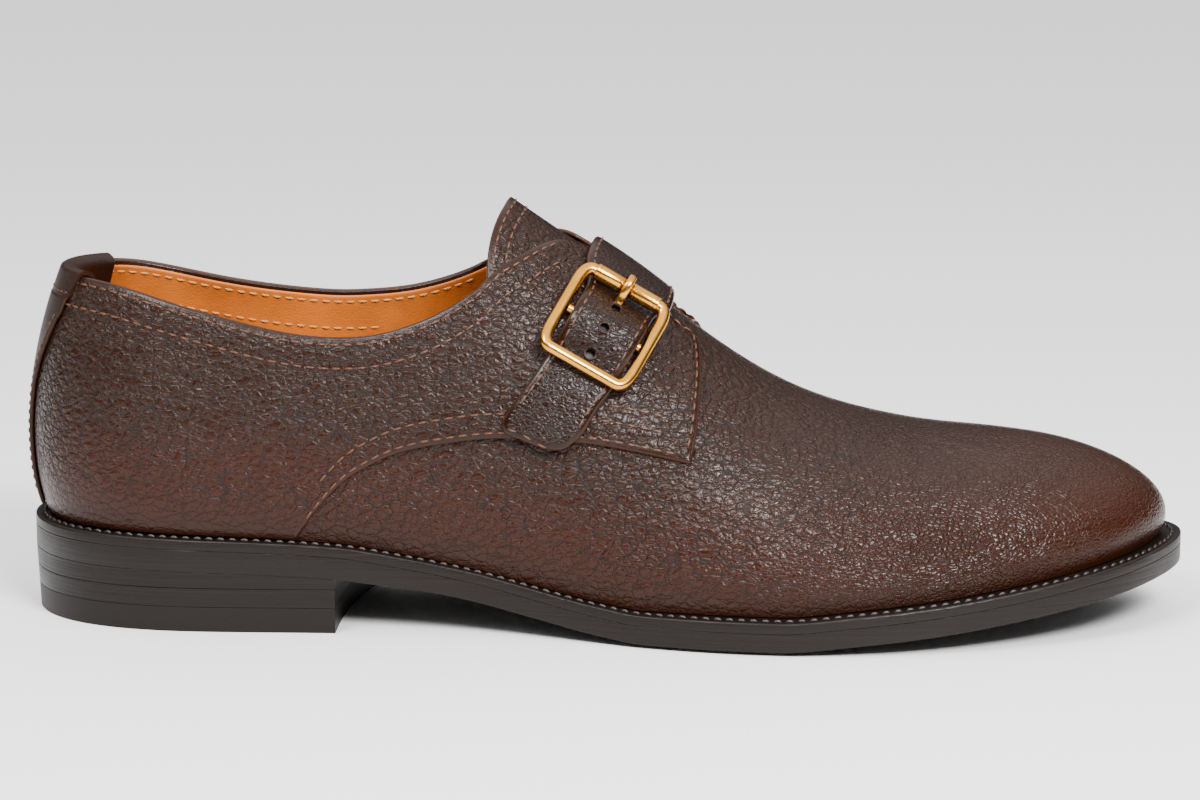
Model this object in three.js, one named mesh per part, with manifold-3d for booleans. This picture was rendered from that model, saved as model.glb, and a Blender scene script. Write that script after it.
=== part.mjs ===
// Right monk strap shoe, worn size, standing on its sole. Millimetres, +Z up.
// +X runs from heel to toe, +Y is the inner side of the foot, -Y the outer side with the buckle.
import * as THREE from 'three'
import { mergeVertices } from 'three/addons/utils/BufferGeometryUtils.js'
import Module from 'manifold-3d'

const wasm = await Module()
wasm.setup()

// Driving sizes of the last and the sole
const soleLength = 298.2
const ballWidth = 104
const heelHeight = 16.3
const toeSpring = 13
const instepRise = 92
const weltReach = 5.5

// Thicknesses
const outsoleThickness = 5.5
const outsoleEdgeRise = 1
const weltThickness = 2.6
const weltSeat = 8
const insoleThickness = 3
const topPieceThickness = 6.4
const wall = 1.9
const quarterStep = 1.3
const tongueThickness = 1.8
const stripThickness = 1.2
const tabThickness = 1
const strapThickness = 2
const gap = 0.3
const tongueGap = 0.5

// Round wire buckle
const buckleWidth = 23.8
const buckleHeight = 25.6
const cornerAcross = 2.6
const cornerDown = 5.5
const barPlay = 1.5
const wireRadius = 1.45
const rollerWall = 0.35
const rollerPlay = 0.5
const barRadius = 1.1
const prongRadius = 0.95
const holeRadius = 1.3

function table(columns, rows) {
  const names = columns.split(' ')
  return rows.map(row => Object.fromEntries(names.map((name, i) => [name, row[i]])))
}

// Underside of the sole: along in sole lengths, heel in heel heights, toe in toe springs
const floorRows = table('along heel toe', [
  [0, 1, 0],
  [0.095, 0.975, 0],
  [0.195, 0.935, 0],
  [0.275, 0.865, 0],
  [0.336, 0.7, 0],
  [0.396, 0.5, 0],
  [0.446, 0.29, 0],
  [0.496, 0.1, 0],
  [0.541, 0, 0],
  [0.652, 0, 0],
  [0.717, 0, 0.135],
  [0.787, 0, 0.3],
  [0.858, 0, 0.51],
  [0.928, 0, 0.745],
  [1, 0, 1]
])

// Ridge of the last: along in sole lengths, rise in instep rises, side in half ball widths
const ridgeRows = table('along rise side', [
  [0.1449, 1.12, 0],
  [0.2624, 1.113, 0.01],
  [0.3628, 1.077, 0.03],
  [0.418, 1, 0.05],
  [0.4672, 0.926, 0.07],
  [0.5194, 0.842, 0.085],
  [0.5716, 0.718, 0.1],
  [0.6228, 0.601, 0.115],
  [0.675, 0.511, 0.12],
  [0.7272, 0.441, 0.12],
  [0.7795, 0.393, 0.12],
  [0.8317, 0.358, 0.115],
  [0.8708, 0.327, 0.11]
])

// Foot of the upper, from the heel round the outer side to the toe and back along the inner side.
// Along is a share of the foot's length and across of its half width. Margin is the welt beside
// it in welt reaches. Bulge (in half widths), full and top shape the rib that rises from there.
const outlineRows = table('along across margin bulge full top', [
  [0, 0, 0.89, 0.292, 0.34, 0.57],
  [0.0253, -0.394, 0.85, 0.255, 0.34, 0.55],
  [0.085, -0.604, 0.82, 0.17, 0.345, 0.54],
  [0.1853, -0.665, 0.75, 0.11, 0.35, 0.6],
  [0.2958, -0.672, 0.64, 0.11, 0.35, 0.64],
  [0.4003, -0.71, 0.62, 0.09, 0.38, 0.72],
  [0.5038, -0.828, 0.75, 0.085, 0.42, 0.64],
  [0.6013, -0.959, 0.95, 0.08, 0.45, 0.57],
  [0.6877, -1, 1, 0.075, 0.49, 0.55],
  [0.7742, -0.955, 1, 0.075, 0.52, 0.56],
  [0.8616, -0.794, 1, 0.09, 0.53, 0.57],
  [0.938, -0.538, 1, 0.11, 0.53, 0.53],
  [0.9842, -0.213, 1, 0.15, 0.525, 0.5],
  [1, 0.086, 1, 0.165, 0.53, 0.49],
  [0.9827, 0.366, 1, 0.15, 0.525, 0.5],
  [0.938, 0.613, 1, 0.11, 0.53, 0.53],
  [0.8616, 0.828, 1, 0.09, 0.53, 0.57],
  [0.7742, 0.968, 1, 0.075, 0.51, 0.56],
  [0.6983, 1, 1, 0.07, 0.48, 0.56],
  [0.6083, 0.953, 0.92, 0.065, 0.44, 0.58],
  [0.5038, 0.774, 0.7, 0.07, 0.42, 0.64],
  [0.4003, 0.613, 0.58, 0.09, 0.4, 0.72],
  [0.2958, 0.563, 0.58, 0.11, 0.35, 0.64],
  [0.1853, 0.585, 0.72, 0.11, 0.35, 0.6],
  [0.085, 0.574, 0.82, 0.17, 0.345, 0.55],
  [0.0253, 0.378, 0.85, 0.255, 0.34, 0.55]
])
const tipRow = 13

// Where the ribs of the heel and of the toe meet on the ridge, in sole lengths
const heelPole = 0.1449 * soleLength
const toePole = 0.8708 * soleLength
const straightStations = 24
const heelFanStations = 11
const toeFanStations = 13
const levels = 13

// Rounds of a search that halves its range each time
const halvings = 40

const clamp = (value, low, high) => Math.min(high, Math.max(low, value))
const mix = (from, to, share) => from + (to - from) * share

// A smooth curve through knots. With a period it closes; a gentle one never overshoots.
class Curve {
  constructor(knots, values, { period = 0, gentle = false } = {}) {
    this.period = period
    this.knots = period > 0 ? [...knots, knots[0] + period] : knots
    this.values = period > 0 ? [...values, values[0]] : values
    this.slopes = gentle ? this.gentleSlopes() : this.evenSlopes()
  }

  rates() {
    const step = this.knots.slice(1).map((knot, i) => knot - this.knots[i])
    const rate = step.map((length, i) => (this.values[i + 1] - this.values[i]) / length)
    return { step, rate }
  }

  evenSlopes() {
    const { step, rate } = this.rates()
    const last = step.length
    const slopes = new Array(last + 1).fill(0)
    const rounds = 80
    for (let round = 0; round < rounds; round++) {
      for (let i = 1; i < last; i++) {
        const sum = 3 * (step[i] * rate[i - 1] + step[i - 1] * rate[i])
        slopes[i] = (sum - step[i] * slopes[i - 1] - step[i - 1] * slopes[i + 1])
          / (2 * (step[i - 1] + step[i]))
      }
      if (this.period > 0) {
        const sum = 3 * (step[0] * rate[last - 1] + step[last - 1] * rate[0])
        slopes[0] = (sum - step[0] * slopes[last - 1] - step[last - 1] * slopes[1])
          / (2 * (step[last - 1] + step[0]))
        slopes[last] = slopes[0]
      } else {
        slopes[0] = (3 * rate[0] - slopes[1]) / 2
        slopes[last] = (3 * rate[last - 1] - slopes[last - 1]) / 2
      }
    }
    return slopes
  }

  gentleSlopes() {
    const { rate } = this.rates()
    const inner = rate.slice(1).map((after, i) => {
      const before = rate[i]
      return before * after > 0 ? 2 * before * after / (before + after) : 0
    })
    return [rate[0], ...inner, rate[rate.length - 1]]
  }

  piece(position) {
    const first = this.knots[0]
    const last = this.knots[this.knots.length - 1]
    const wrapped = this.period > 0
      ? position - Math.floor((position - first) / this.period) * this.period
      : clamp(position, first, last)
    let i = 0
    while (i < this.knots.length - 2 && wrapped > this.knots[i + 1]) i++
    const step = this.knots[i + 1] - this.knots[i]
    return { i, step, share: (wrapped - this.knots[i]) / step }
  }

  at(position) {
    const { i, step, share: s } = this.piece(position)
    const value = (1 + 2 * s) * (1 - s) ** 2 * this.values[i] + s * s * (3 - 2 * s) * this.values[i + 1]
    return value + step * (s * (1 - s) ** 2 * this.slopes[i] - s * s * (1 - s) * this.slopes[i + 1])
  }

  slopeAt(position) {
    const { i, step, share: s } = this.piece(position)
    const change = 6 * s * (1 - s) * (this.values[i + 1] - this.values[i]) / step
    return change + (1 - s) * (1 - 3 * s) * this.slopes[i] + s * (3 * s - 2) * this.slopes[i + 1]
  }
}

// Heights along the shoe
const soleBottom = new Curve(
  floorRows.map(row => row.along * soleLength),
  floorRows.map(row => row.heel * heelHeight + row.toe * toeSpring),
  { gentle: true }
)
const outsoleTop = x => soleBottom.at(x) + outsoleThickness
const weltBottom = x => outsoleTop(x) + gap
const weltTop = x => weltBottom(x) + weltThickness
const footHeight = x => weltTop(x) + gap

const footLength = soleLength - weltReach * (outlineRows[0].margin + outlineRows[tipRow].margin)
const footBack = weltReach * outlineRows[0].margin
const halfWidth = ballWidth / 2 - weltReach

const ridgeAlong = ridgeRows.map(row => row.along * soleLength)
const ridgeHeight = new Curve(ridgeAlong, ridgeRows.map(row =>
  footHeight(row.along * soleLength) + row.rise * instepRise))
const ridgeSide = new Curve(ridgeAlong, ridgeRows.map(row => row.side * halfWidth))

// The foot of the upper as a closed curve, measured along its chords
const footPoints = outlineRows.map(row =>
  new THREE.Vector2(footBack + row.along * footLength, row.across * halfWidth))
const footKnots = [0]
footPoints.slice(1).forEach((point, i) => footKnots.push(footKnots[i] + point.distanceTo(footPoints[i])))
const lastPoint = footPoints[footPoints.length - 1]
const footPeriod = footKnots[footKnots.length - 1] + lastPoint.distanceTo(footPoints[0])
const around = values => new Curve(footKnots, values, { period: footPeriod })
const footX = around(footPoints.map(point => point.x))
const footY = around(footPoints.map(point => point.y))
const footMargin = around(outlineRows.map(row => row.margin * weltReach))
const footBulge = around(outlineRows.map(row => row.bulge * halfWidth))
const footFull = around(outlineRows.map(row => row.full))
const footTop = around(outlineRows.map(row => row.top))
const tipPosition = footKnots[tipRow]

// Position on the foot curve where one side of the shoe reaches a given x
function positionAt(x, side) {
  let behind = side < 0 ? 0 : footPeriod
  let ahead = tipPosition
  for (let round = 0; round < halvings; round++) {
    const middle = (behind + ahead) / 2
    if (footX.at(middle) < x) behind = middle
    else ahead = middle
  }
  return (behind + ahead) / 2
}

function outward(position) {
  return new THREE.Vector2(footY.slopeAt(position), -footX.slopeAt(position)).normalize()
}

// A point of the last: level 0 is its foot and level 1 its ridge
function lastPointAt(position, level) {
  const x = footX.at(position)
  const poleX = clamp(x, heelPole, toePole)
  const poleY = ridgeSide.at(poleX)
  const toFoot = new THREE.Vector2(x - poleX, footY.at(position) - poleY)
  const reach = toFoot.length()
  const low = footHeight(x)
  const high = ridgeHeight.at(poleX)
  const slope = ridgeHeight.slopeAt(poleX) * toFoot.x / reach
  const top = footTop.at(position) * reach
  const out = [reach, reach + footBulge.at(position), top, 0]
  const up = [low, mix(low, high, footFull.at(position)), high + slope * top, high]
  const rest = 1 - level
  const weights = [rest ** 3, 3 * rest * rest * level, 3 * rest * level * level, level ** 3]
  const r = weights.reduce((sum, weight, i) => sum + weight * out[i], 0)
  const z = weights.reduce((sum, weight, i) => sum + weight * up[i], 0)
  return new THREE.Vector3(poleX + toFoot.x / reach * r, poleY + toFoot.y / reach * r, z)
}

const ridgeNormal = x => new THREE.Vector3(-ridgeHeight.slopeAt(x), 0, 1).normalize()

// The outward direction there, level with the floor at the foot so that every form ends flush
function lastNormalAt(position, level) {
  const ridgeLevel = 0.995
  const levelled = 0.12
  const levelStep = 0.002
  const alongStep = 0.2
  if (level > ridgeLevel) return ridgeNormal(clamp(footX.at(position), heelPole, toePole))
  const low = Math.max(level - levelStep, 0)
  const up = lastPointAt(position, level + levelStep).sub(lastPointAt(position, low))
  const along = lastPointAt(position + alongStep, level).sub(lastPointAt(position - alongStep, level))
  const normal = along.cross(up).normalize()
  normal.z *= Math.min(1, level / levelled)
  return normal.normalize()
}

function formPoint(position, level, offset) {
  return lastPointAt(position, level).addScaledVector(lastNormalAt(position, level), offset)
}

// Stations round the shoe, each with the pole on the ridge that its rib runs to
function makeStations() {
  const xs = Array.from({ length: straightStations }, (_, i) =>
    mix(heelPole, toePole, i / (straightStations - 1)))
  const outer = xs.map((x, i) => ({ position: positionAt(x, -1), pole: i }))
  const inner = xs.map((x, i) => ({ position: positionAt(x, 1), pole: i })).reverse()
  const fan = (from, to, count, pole) => Array.from({ length: count }, (_, i) =>
    ({ position: mix(from, to, (i + 1) / (count + 1)), pole }))
  const last = straightStations - 1
  const toeFan = fan(outer[last].position, inner[0].position, toeFanStations, last)
  const heelFan = fan(inner[last].position, footPeriod + outer[0].position, heelFanStations, 0)
  return { xs, ring: [...outer, ...toeFan, ...inner, ...heelFan] }
}
const { xs: poleXs, ring: stations } = makeStations()

function solidFrom(points, faces) {
  const vertProperties = new Float32Array(points.flatMap(point => [point.x, point.y, point.z]))
  const kept = faces.filter(([a, b, c]) => a !== b && b !== c && c !== a)
  const solid = new wasm.Manifold(new wasm.Mesh({
    numProp: 3, vertProperties, triVerts: new Uint32Array(kept.flat())
  }))
  if (solid.volume() > 0) return solid
  const turned = kept.map(([a, b, c]) => [a, c, b])
  return new wasm.Manifold(new wasm.Mesh({
    numProp: 3, vertProperties, triVerts: new Uint32Array(turned.flat())
  }))
}

function quad(faces, a, b, c, d) {
  faces.push([a, b, c], [a, c, d])
}

// A solid from rings round the shoe, closed above and below along the ridge
function closedForm(rings, bottomSpine, topSpine) {
  const points = [...bottomSpine, ...rings.flat(), ...topSpine]
  const ringStart = i => bottomSpine.length + i * stations.length
  const topStart = ringStart(rings.length)
  const faces = []
  stations.forEach((station, k) => {
    const next = (k + 1) % stations.length
    const pole = station.pole
    const nextPole = stations[next].pole
    quad(faces, pole, nextPole, ringStart(0) + next, ringStart(0) + k)
    for (let i = 0; i < rings.length - 1; i++) {
      quad(faces, ringStart(i) + k, ringStart(i) + next, ringStart(i + 1) + next, ringStart(i + 1) + k)
    }
    const high = ringStart(rings.length - 1)
    quad(faces, high + k, high + next, topStart + nextPole, topStart + pole)
  })
  return solidFrom(points, faces)
}

// A solid from rings that close on each other, like a frame
function ringForm(rings) {
  const faces = []
  const count = stations.length
  rings.forEach((_, i) => {
    const above = (i + 1) % rings.length
    for (let k = 0; k < count; k++) {
      const next = (k + 1) % count
      quad(faces, i * count + k, i * count + next, above * count + next, above * count + k)
    }
  })
  return solidFrom(rings.flat(), faces)
}

// The last grown by an offset; a drop carries it down past its foot
function form(offset, drop = 0) {
  const rings = []
  if (drop > 0) {
    const lowered = station => formPoint(station.position, 0, offset).add(new THREE.Vector3(0, 0, -drop))
    rings.push(stations.map(lowered))
  }
  for (let j = 0; j < levels; j++) {
    rings.push(stations.map(station => formPoint(station.position, j / levels, offset)))
  }
  const bottom = poleXs.map(x => new THREE.Vector3(x, ridgeSide.at(x), footHeight(x) - drop))
  const top = poleXs.map(x => new THREE.Vector3(x, ridgeSide.at(x), ridgeHeight.at(x))
    .addScaledVector(ridgeNormal(x), offset))
  return closedForm(rings, bottom, top)
}

// One ring in plan, moved outwards from the foot curve and set on a height
function planRing(move, height) {
  return stations.map(({ position }) => {
    const away = outward(position).multiplyScalar(move(position))
    const x = footX.at(position) + away.x
    return new THREE.Vector3(x, footY.at(position) + away.y, height(x))
  })
}

function planSpine(height) {
  return poleXs.map(x => new THREE.Vector3(x, ridgeSide.at(x), height(x)))
}

// Prisms: an outline in the side view (x, z) or the back view (y, z)
function extruded(outline, depth) {
  const flat = new THREE.Shape(outline.map(([a, b]) => new THREE.Vector2(a, b)))
  return new THREE.ExtrudeGeometry(flat, { depth, bevelEnabled: false, steps: 1 })
}

function solidOf(geometry) {
  const plain = geometry.clone()
  plain.deleteAttribute('normal')
  plain.deleteAttribute('uv')
  const merged = mergeVertices(plain, 1e-4)
  const points = merged.attributes.position
  const vectors = Array.from({ length: points.count }, (_, i) =>
    new THREE.Vector3().fromBufferAttribute(points, i))
  const index = Array.from(merged.index.array)
  const faces = Array.from({ length: index.length / 3 }, (_, i) => index.slice(3 * i, 3 * i + 3))
  return solidFrom(vectors, faces)
}

function sidePrism(outline, fromY, toY) {
  const geometry = extruded(outline, toY - fromY)
  geometry.rotateX(Math.PI / 2)
  geometry.translate(0, toY, 0)
  return solidOf(geometry)
}

function planPrism(outline, fromZ, toZ) {
  const geometry = extruded(outline, toZ - fromZ)
  geometry.translate(0, 0, fromZ)
  return solidOf(geometry)
}

function backPrism(outline, fromX, toX) {
  const geometry = extruded(outline, toX - fromX)
  geometry.rotateX(Math.PI / 2)
  geometry.rotateZ(Math.PI / 2)
  geometry.translate(fromX, 0, 0)
  return solidOf(geometry)
}

// A sheet between an outer and an inner grid of points
function sheet(outer, inner) {
  const rows = outer.length
  const columns = outer[0].length
  const face = (i, j) => i * columns + j
  const lining = (i, j) => (rows + i) * columns + j
  const faces = []
  const lastRow = rows - 1
  const lastColumn = columns - 1
  for (let i = 0; i < lastRow; i++) {
    for (let j = 0; j < lastColumn; j++) {
      quad(faces, face(i, j), face(i + 1, j), face(i + 1, j + 1), face(i, j + 1))
      quad(faces, lining(i, j), lining(i, j + 1), lining(i + 1, j + 1), lining(i + 1, j))
    }
    quad(faces, face(i + 1, 0), face(i, 0), lining(i, 0), lining(i + 1, 0))
    quad(faces, face(i, lastColumn), face(i + 1, lastColumn),
      lining(i + 1, lastColumn), lining(i, lastColumn))
  }
  for (let j = 0; j < lastColumn; j++) {
    quad(faces, face(0, j), face(0, j + 1), lining(0, j + 1), lining(0, j))
    quad(faces, face(lastRow, j + 1), face(lastRow, j), lining(lastRow, j), lining(lastRow, j + 1))
  }
  return solidFrom([...outer.flat(), ...inner.flat()], faces)
}

// Sole: outsole, welt, insole and heel. Beyond the heel its edge rises from a flat tread.
const outsoleTread = 0.72
const edgeRows = table('along rise', [[0.3, 0], [0.38, 1], [1, 1]])
const edgeRise = new Curve(
  edgeRows.map(row => row.along * soleLength),
  edgeRows.map(row => row.rise * outsoleEdgeRise),
  { gentle: true }
)

function makeOutsole() {
  const tread = planRing(() => 0, x => soleBottom.at(x))
  tread.forEach((point, k) => {
    const x = poleXs[stations[k].pole]
    point.lerp(new THREE.Vector3(x, ridgeSide.at(x), soleBottom.at(x)), 1 - outsoleTread)
    point.z = soleBottom.at(point.x)
  })
  const lowEdge = planRing(position => footMargin.at(position), x => soleBottom.at(x) + edgeRise.at(x))
  const highEdge = planRing(position => footMargin.at(position), outsoleTop)
  const seat = planRing(() => -weltSeat, outsoleTop)
  return closedForm([tread, lowEdge, highEdge, seat], planSpine(x => soleBottom.at(x)), planSpine(outsoleTop))
}

function makeWelt() {
  const outer = position => footMargin.at(position)
  const inner = () => -weltSeat
  return ringForm([
    planRing(outer, weltBottom),
    planRing(outer, weltTop),
    planRing(inner, weltTop),
    planRing(inner, weltBottom)
  ])
}

function makeInsole() {
  const edge = () => -wall - gap
  const top = x => footHeight(x) + insoleThickness
  return closedForm([planRing(edge, footHeight), planRing(edge, top)], planSpine(footHeight), planSpine(top))
}

// The heel narrows to the floor, and its breast is hollow and runs further forward on the inner side
const heelTaper = 0.8
const breastOuter = 0.2754 * soleLength
const breastInner = 0.2995 * soleLength
const breastHollow = 2.5
const heelStations = 26
const breastStations = 8

function heelRing(inset, height) {
  const start = positionAt(breastInner, 1)
  const end = footPeriod + positionAt(breastOuter, -1)
  const edge = Array.from({ length: heelStations + 1 }, (_, i) => {
    const position = mix(start, end, i / heelStations)
    const away = outward(position).multiplyScalar(footMargin.at(position) - inset)
    return new THREE.Vector2(footX.at(position) + away.x, footY.at(position) + away.y)
  })
  const from = edge[heelStations]
  const to = edge[0]
  for (let i = 1; i < breastStations; i++) {
    const share = i / breastStations
    const point = from.clone().lerp(to, share)
    point.x -= breastHollow * Math.sin(Math.PI * share)
    edge.push(point)
  }
  return edge.map(point => new THREE.Vector3(point.x, point.y, height(point.x)))
}

function heelSlab(low, high) {
  const insetAt = z => heelTaper * (1 - z / heelHeight)
  const middleX = breastOuter / 2
  const rings = [low, high].map(height => heelRing(insetAt(height(middleX)), height))
  const centres = [low, high].map(height => new THREE.Vector3(middleX, 0, height(middleX)))
  const count = rings[0].length
  const faces = []
  for (let k = 0; k < count; k++) {
    const next = (k + 1) % count
    quad(faces, k, next, count + next, count + k)
    faces.push([2 * count, next, k], [2 * count + 1, count + k, count + next])
  }
  return solidFrom([...rings.flat(), ...centres], faces)
}

const seatHeight = x => soleBottom.at(x) - gap
const liftTop = topPieceThickness + (heelHeight - topPieceThickness) / 2

// Upper: the vamp, a step in its wall for the quarters, the collar and the throat
const wide = ballWidth
const tall = 2 * instepRise
const throatBack = 0.405 * soleLength
const throatFront = 0.4963 * soleLength

// Collar line on each side: heights over the foot in shares of the rise beside it
const collarRise = 64.2
const sideRise = x => mix(collarRise, instepRise, (x / throatBack) ** 2)
const collarRows = table('along outer inner', [
  [0.0345, 0.99, 0.99],
  [0.0676, 0.977, 0.972],
  [0.1017, 0.938, 0.93],
  [0.1319, 0.887, 0.885],
  [0.178, 0.808, 0.823],
  [0.2242, 0.735, 0.772],
  [0.2704, 0.687, 0.735],
  [0.3046, 0.679, 0.728],
  [0.3307, 0.694, 0.734],
  [0.3558, 0.718, 0.748],
  [0.3799, 0.752, 0.77],
  [0.405, 0.795, 0.802]
])
const collarAlong = collarRows.map(row => row.along * soleLength)
const collarShare = {
  outer: new Curve(collarAlong, collarRows.map(row => row.outer)),
  inner: new Curve(collarAlong, collarRows.map(row => row.inner))
}
const collarHeight = (x, side) => footHeight(x) + collarShare[side].at(x) * sideRise(x)

// Half width of the throat on the outer side, in half widths of the foot. The ridge leans to the
// inner side, where the throat takes a smaller share of it.
const throatInner = 0.77
const throatRows = table('along half', [
  [0.4009, 0.535],
  [0.417, 0.48],
  [0.4331, 0.41],
  [0.4511, 0.29],
  [0.4652, 0.18],
  [0.4762, 0.11],
  [0.4883, 0.07],
  [0.4963, 0.03]
])

// Edges of the quarters in the side view: along in sole lengths, up in instep rises over the foot
const quarterLower = table('along up', [
  [0.24, -0.2],
  [0.2413, 0],
  [0.2584, 0.083],
  [0.2825, 0.175],
  [0.3056, 0.234],
  [0.3307, 0.284],
  [0.3648, 0.328],
  [0.416, 0.382],
  [0.4853, 0.426],
  [0.5264, 0.43],
  [0.5773, 0.401]
])
const quarterFront = table('along up', [
  [0.5773, 0.401],
  [0.5817, 0.49],
  [0.583, 0.614],
  [0.5781, 0.69],
  [0.5656, 0.72],
  [0.5495, 0.775],
  [0.5395, 0.85]
])

function sideOutline(rows, steps) {
  const points = rows.map(row => {
    const x = row.along * soleLength
    return new THREE.Vector2(x, footHeight(x) + row.up * instepRise)
  })
  return new THREE.SplineCurve(points).getPoints(steps).map(point => [point.x, point.y])
}

function quarterPrism(fromY, toY) {
  const lower = sideOutline(quarterLower, 20)
  const front = sideOutline(quarterFront, 10).slice(1)
  const top = front[front.length - 1]
  return sidePrism([...lower, ...front, [top[0], tall], [-weltSeat, tall], [-weltSeat, lower[0][1]]], fromY, toY)
}

function collarPrism(side, raise, fromY, toY) {
  const steps = 26
  const line = Array.from({ length: steps + 1 }, (_, i) => {
    const x = mix(-weltSeat, throatBack, i / steps)
    return [x, collarHeight(x, side) + raise]
  })
  return sidePrism([...line, [throatBack, tall], [-weltSeat, tall]], fromY, toY)
}

function throatPrism() {
  const half = new Curve(throatRows.map(row => row.along * soleLength), throatRows.map(row => row.half * halfWidth))
  const steps = 14
  const first = throatRows[0].along * soleLength
  const edge = side => Array.from({ length: steps + 1 }, (_, i) => {
    const x = mix(first, throatFront, i / steps)
    return [x, ridgeSide.at(x) + side * half.at(x)]
  })
  return planPrism([...edge(-1), ...edge(throatInner).reverse()], instepRise / 2, tall)
}

// The tongue lies in a pocket of the upper under the flaps of the quarters
const pocketBack = 0.3889 * soleLength
const pocketFront = 0.5415 * soleLength
const pocketLevels = 7
const tongueBack = 0.4029 * soleLength
const tongueCrest = 0.418 * soleLength
const tongueShoulder = 0.36
const tongueRows = 6

const sideSign = girth => (girth < 0 ? -1 : 1)

// Across the shoe, girth runs from -1 at the outer foot over 0 on the ridge to 1 at the inner foot
function girthPoint(x, girth, offset) {
  return formPoint(positionAt(x, sideSign(girth)), 1 - Math.abs(girth), offset)
}

function makePocket() {
  const xs = [pocketBack, ...poleXs.filter(x => x > pocketBack && x < pocketFront), pocketFront]
  const girths = Array.from({ length: 2 * pocketLevels + 1 }, (_, i) => (i - pocketLevels) / levels)
  const grid = offset => xs.map(x => girths.map(girth => girthPoint(x, girth, offset)))
  return sheet(grid(0), grid(-2 * wall))
}

function makeTongue() {
  const edge = pocketLevels - 0.5
  const steps = 2 * pocketLevels
  const girths = Array.from({ length: steps + 1 }, (_, i) => clamp(i - pocketLevels, -edge, edge) / levels)
  const back = girth => {
    const share = Math.min(1, Math.abs(girth) / tongueShoulder)
    return mix(tongueCrest, tongueBack, share * share * (3 - 2 * share))
  }
  const grid = offset => Array.from({ length: tongueRows + 1 }, (_, i) =>
    girths.map(girth => girthPoint(mix(back(girth), pocketFront - gap, i / tongueRows), girth, offset)))
  return sheet(grid(-tongueGap), grid(-tongueGap - tongueThickness))
}

function makeUpper() {
  const quarters = form(quarterStep)
  const outerQuarter = quarters.intersect(quarterPrism(-wide, 0))
  const innerQuarter = quarters.intersect(quarterPrism(0, wide))
  return form(0).add(outerQuarter).add(innerQuarter)
    .subtract(form(-wall, weltSeat))
    .subtract(collarPrism('outer', 0, -wide, 0))
    .subtract(collarPrism('inner', 0, 0, wide))
    .subtract(throatPrism())
    .subtract(makePocket())
}

// Back strip over the heel seam, and the tab folded over the collar above it
const tabSeam = 0.9
const backRows = table('up half', [
  [0.03, 0.15],
  [0.25, 0.15],
  [0.48, 0.165],
  [0.68, 0.25],
  [0.86, 0.33],
  [1.1, 0.37]
])

function backOutline(from, to) {
  const low = footHeight(footBack)
  const half = new Curve(backRows.map(row => row.up), backRows.map(row => row.half * halfWidth), { gentle: true })
  const steps = 10
  const edge = side => Array.from({ length: steps + 1 }, (_, i) => {
    const up = mix(from, to, i / steps)
    return [side * half.at(up), low + up * collarRise]
  })
  return [...edge(1), ...edge(-1).reverse()]
}

function makeBackStrip() {
  const inner = quarterStep + gap
  return form(inner + stripThickness).subtract(form(inner))
    .intersect(backPrism(backOutline(backRows[0].up, tabSeam - gap / collarRise), -wide, heelPole))
}

function makeHeelTab() {
  const outer = quarterStep + gap
  const region = backPrism(backOutline(tabSeam, 1.1), -wide, heelPole)
  const folded = form(outer + tabThickness).subtract(form(-wall - gap - tabThickness, weltSeat))
    .subtract(collarPrism('outer', gap + tabThickness, -wide, 0))
    .subtract(collarPrism('inner', gap + tabThickness, 0, wide))
  const inside = form(-wall - gap, weltSeat)
  const clearance = form(outer).subtract(inside)
    .subtract(collarPrism('outer', gap, -wide, 0))
    .subtract(collarPrism('inner', gap, 0, wide))
  return folded.subtract(clearance).intersect(region)
}

// Strap: edges in sole lengths along its girth, from the tail on the outer side over the ridge
const strapRows = table('girth rear front', [
  [-0.69, 0.4213, 0.4552],
  [-0.68, 0.4193, 0.4672],
  [-0.665, 0.4197, 0.4752],
  [-0.64, 0.4237, 0.4836],
  [-0.58, 0.4371, 0.4946],
  [-0.51, 0.4508, 0.5077],
  [-0.45, 0.4609, 0.5164],
  [-0.385, 0.4692, 0.5239],
  [-0.32, 0.4767, 0.5305],
  [-0.25, 0.4828, 0.537],
  [-0.21, 0.4828, 0.5415],
  [-0.17, 0.4813, 0.5485],
  [-0.12, 0.4816, 0.5518],
  [-0.06, 0.483, 0.5528],
  [0, 0.4843, 0.5528],
  [0.1, 0.483, 0.5512],
  [0.2, 0.4796, 0.5472],
  [0.3, 0.4735, 0.5412],
  [0.4, 0.4655, 0.5332],
  [0.5, 0.4545, 0.5244],
  [0.56, 0.4461, 0.5164],
  [0.59, 0.446, 0.511],
  [0.606, 0.4495, 0.505],
  [0.616, 0.458, 0.496]
])
const strapGirths = strapRows.map(row => row.girth)
const strapRear = new Curve(strapGirths, strapRows.map(row => row.rear * soleLength))
const strapFront = new Curve(strapGirths, strapRows.map(row => row.front * soleLength))
const strapSteps = 46
const strapColumns = 4
const strapSeat = quarterStep + gap
const strapMiddle = (girth, offset) =>
  girthPoint((strapRear.at(girth) + strapFront.at(girth)) / 2, girth, offset)

// The buckle's seat on the strap, and a frame of directions: down the strap, across it and out
const buckleGirth = -0.362
const ringWall = 0.5
const barHeight = strapSeat + ringWall + gap + barRadius
const strapLift = ringWall * 2 + gap * 2 + barRadius * 2 + gap

function girthAtDistance(distance, towards) {
  const start = strapMiddle(buckleGirth, 0)
  let near = buckleGirth
  let far = towards
  for (let round = 0; round < halvings; round++) {
    const middle = (near + far) / 2
    if (strapMiddle(middle, 0).distanceTo(start) < distance) near = middle
    else far = middle
  }
  return near
}

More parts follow.
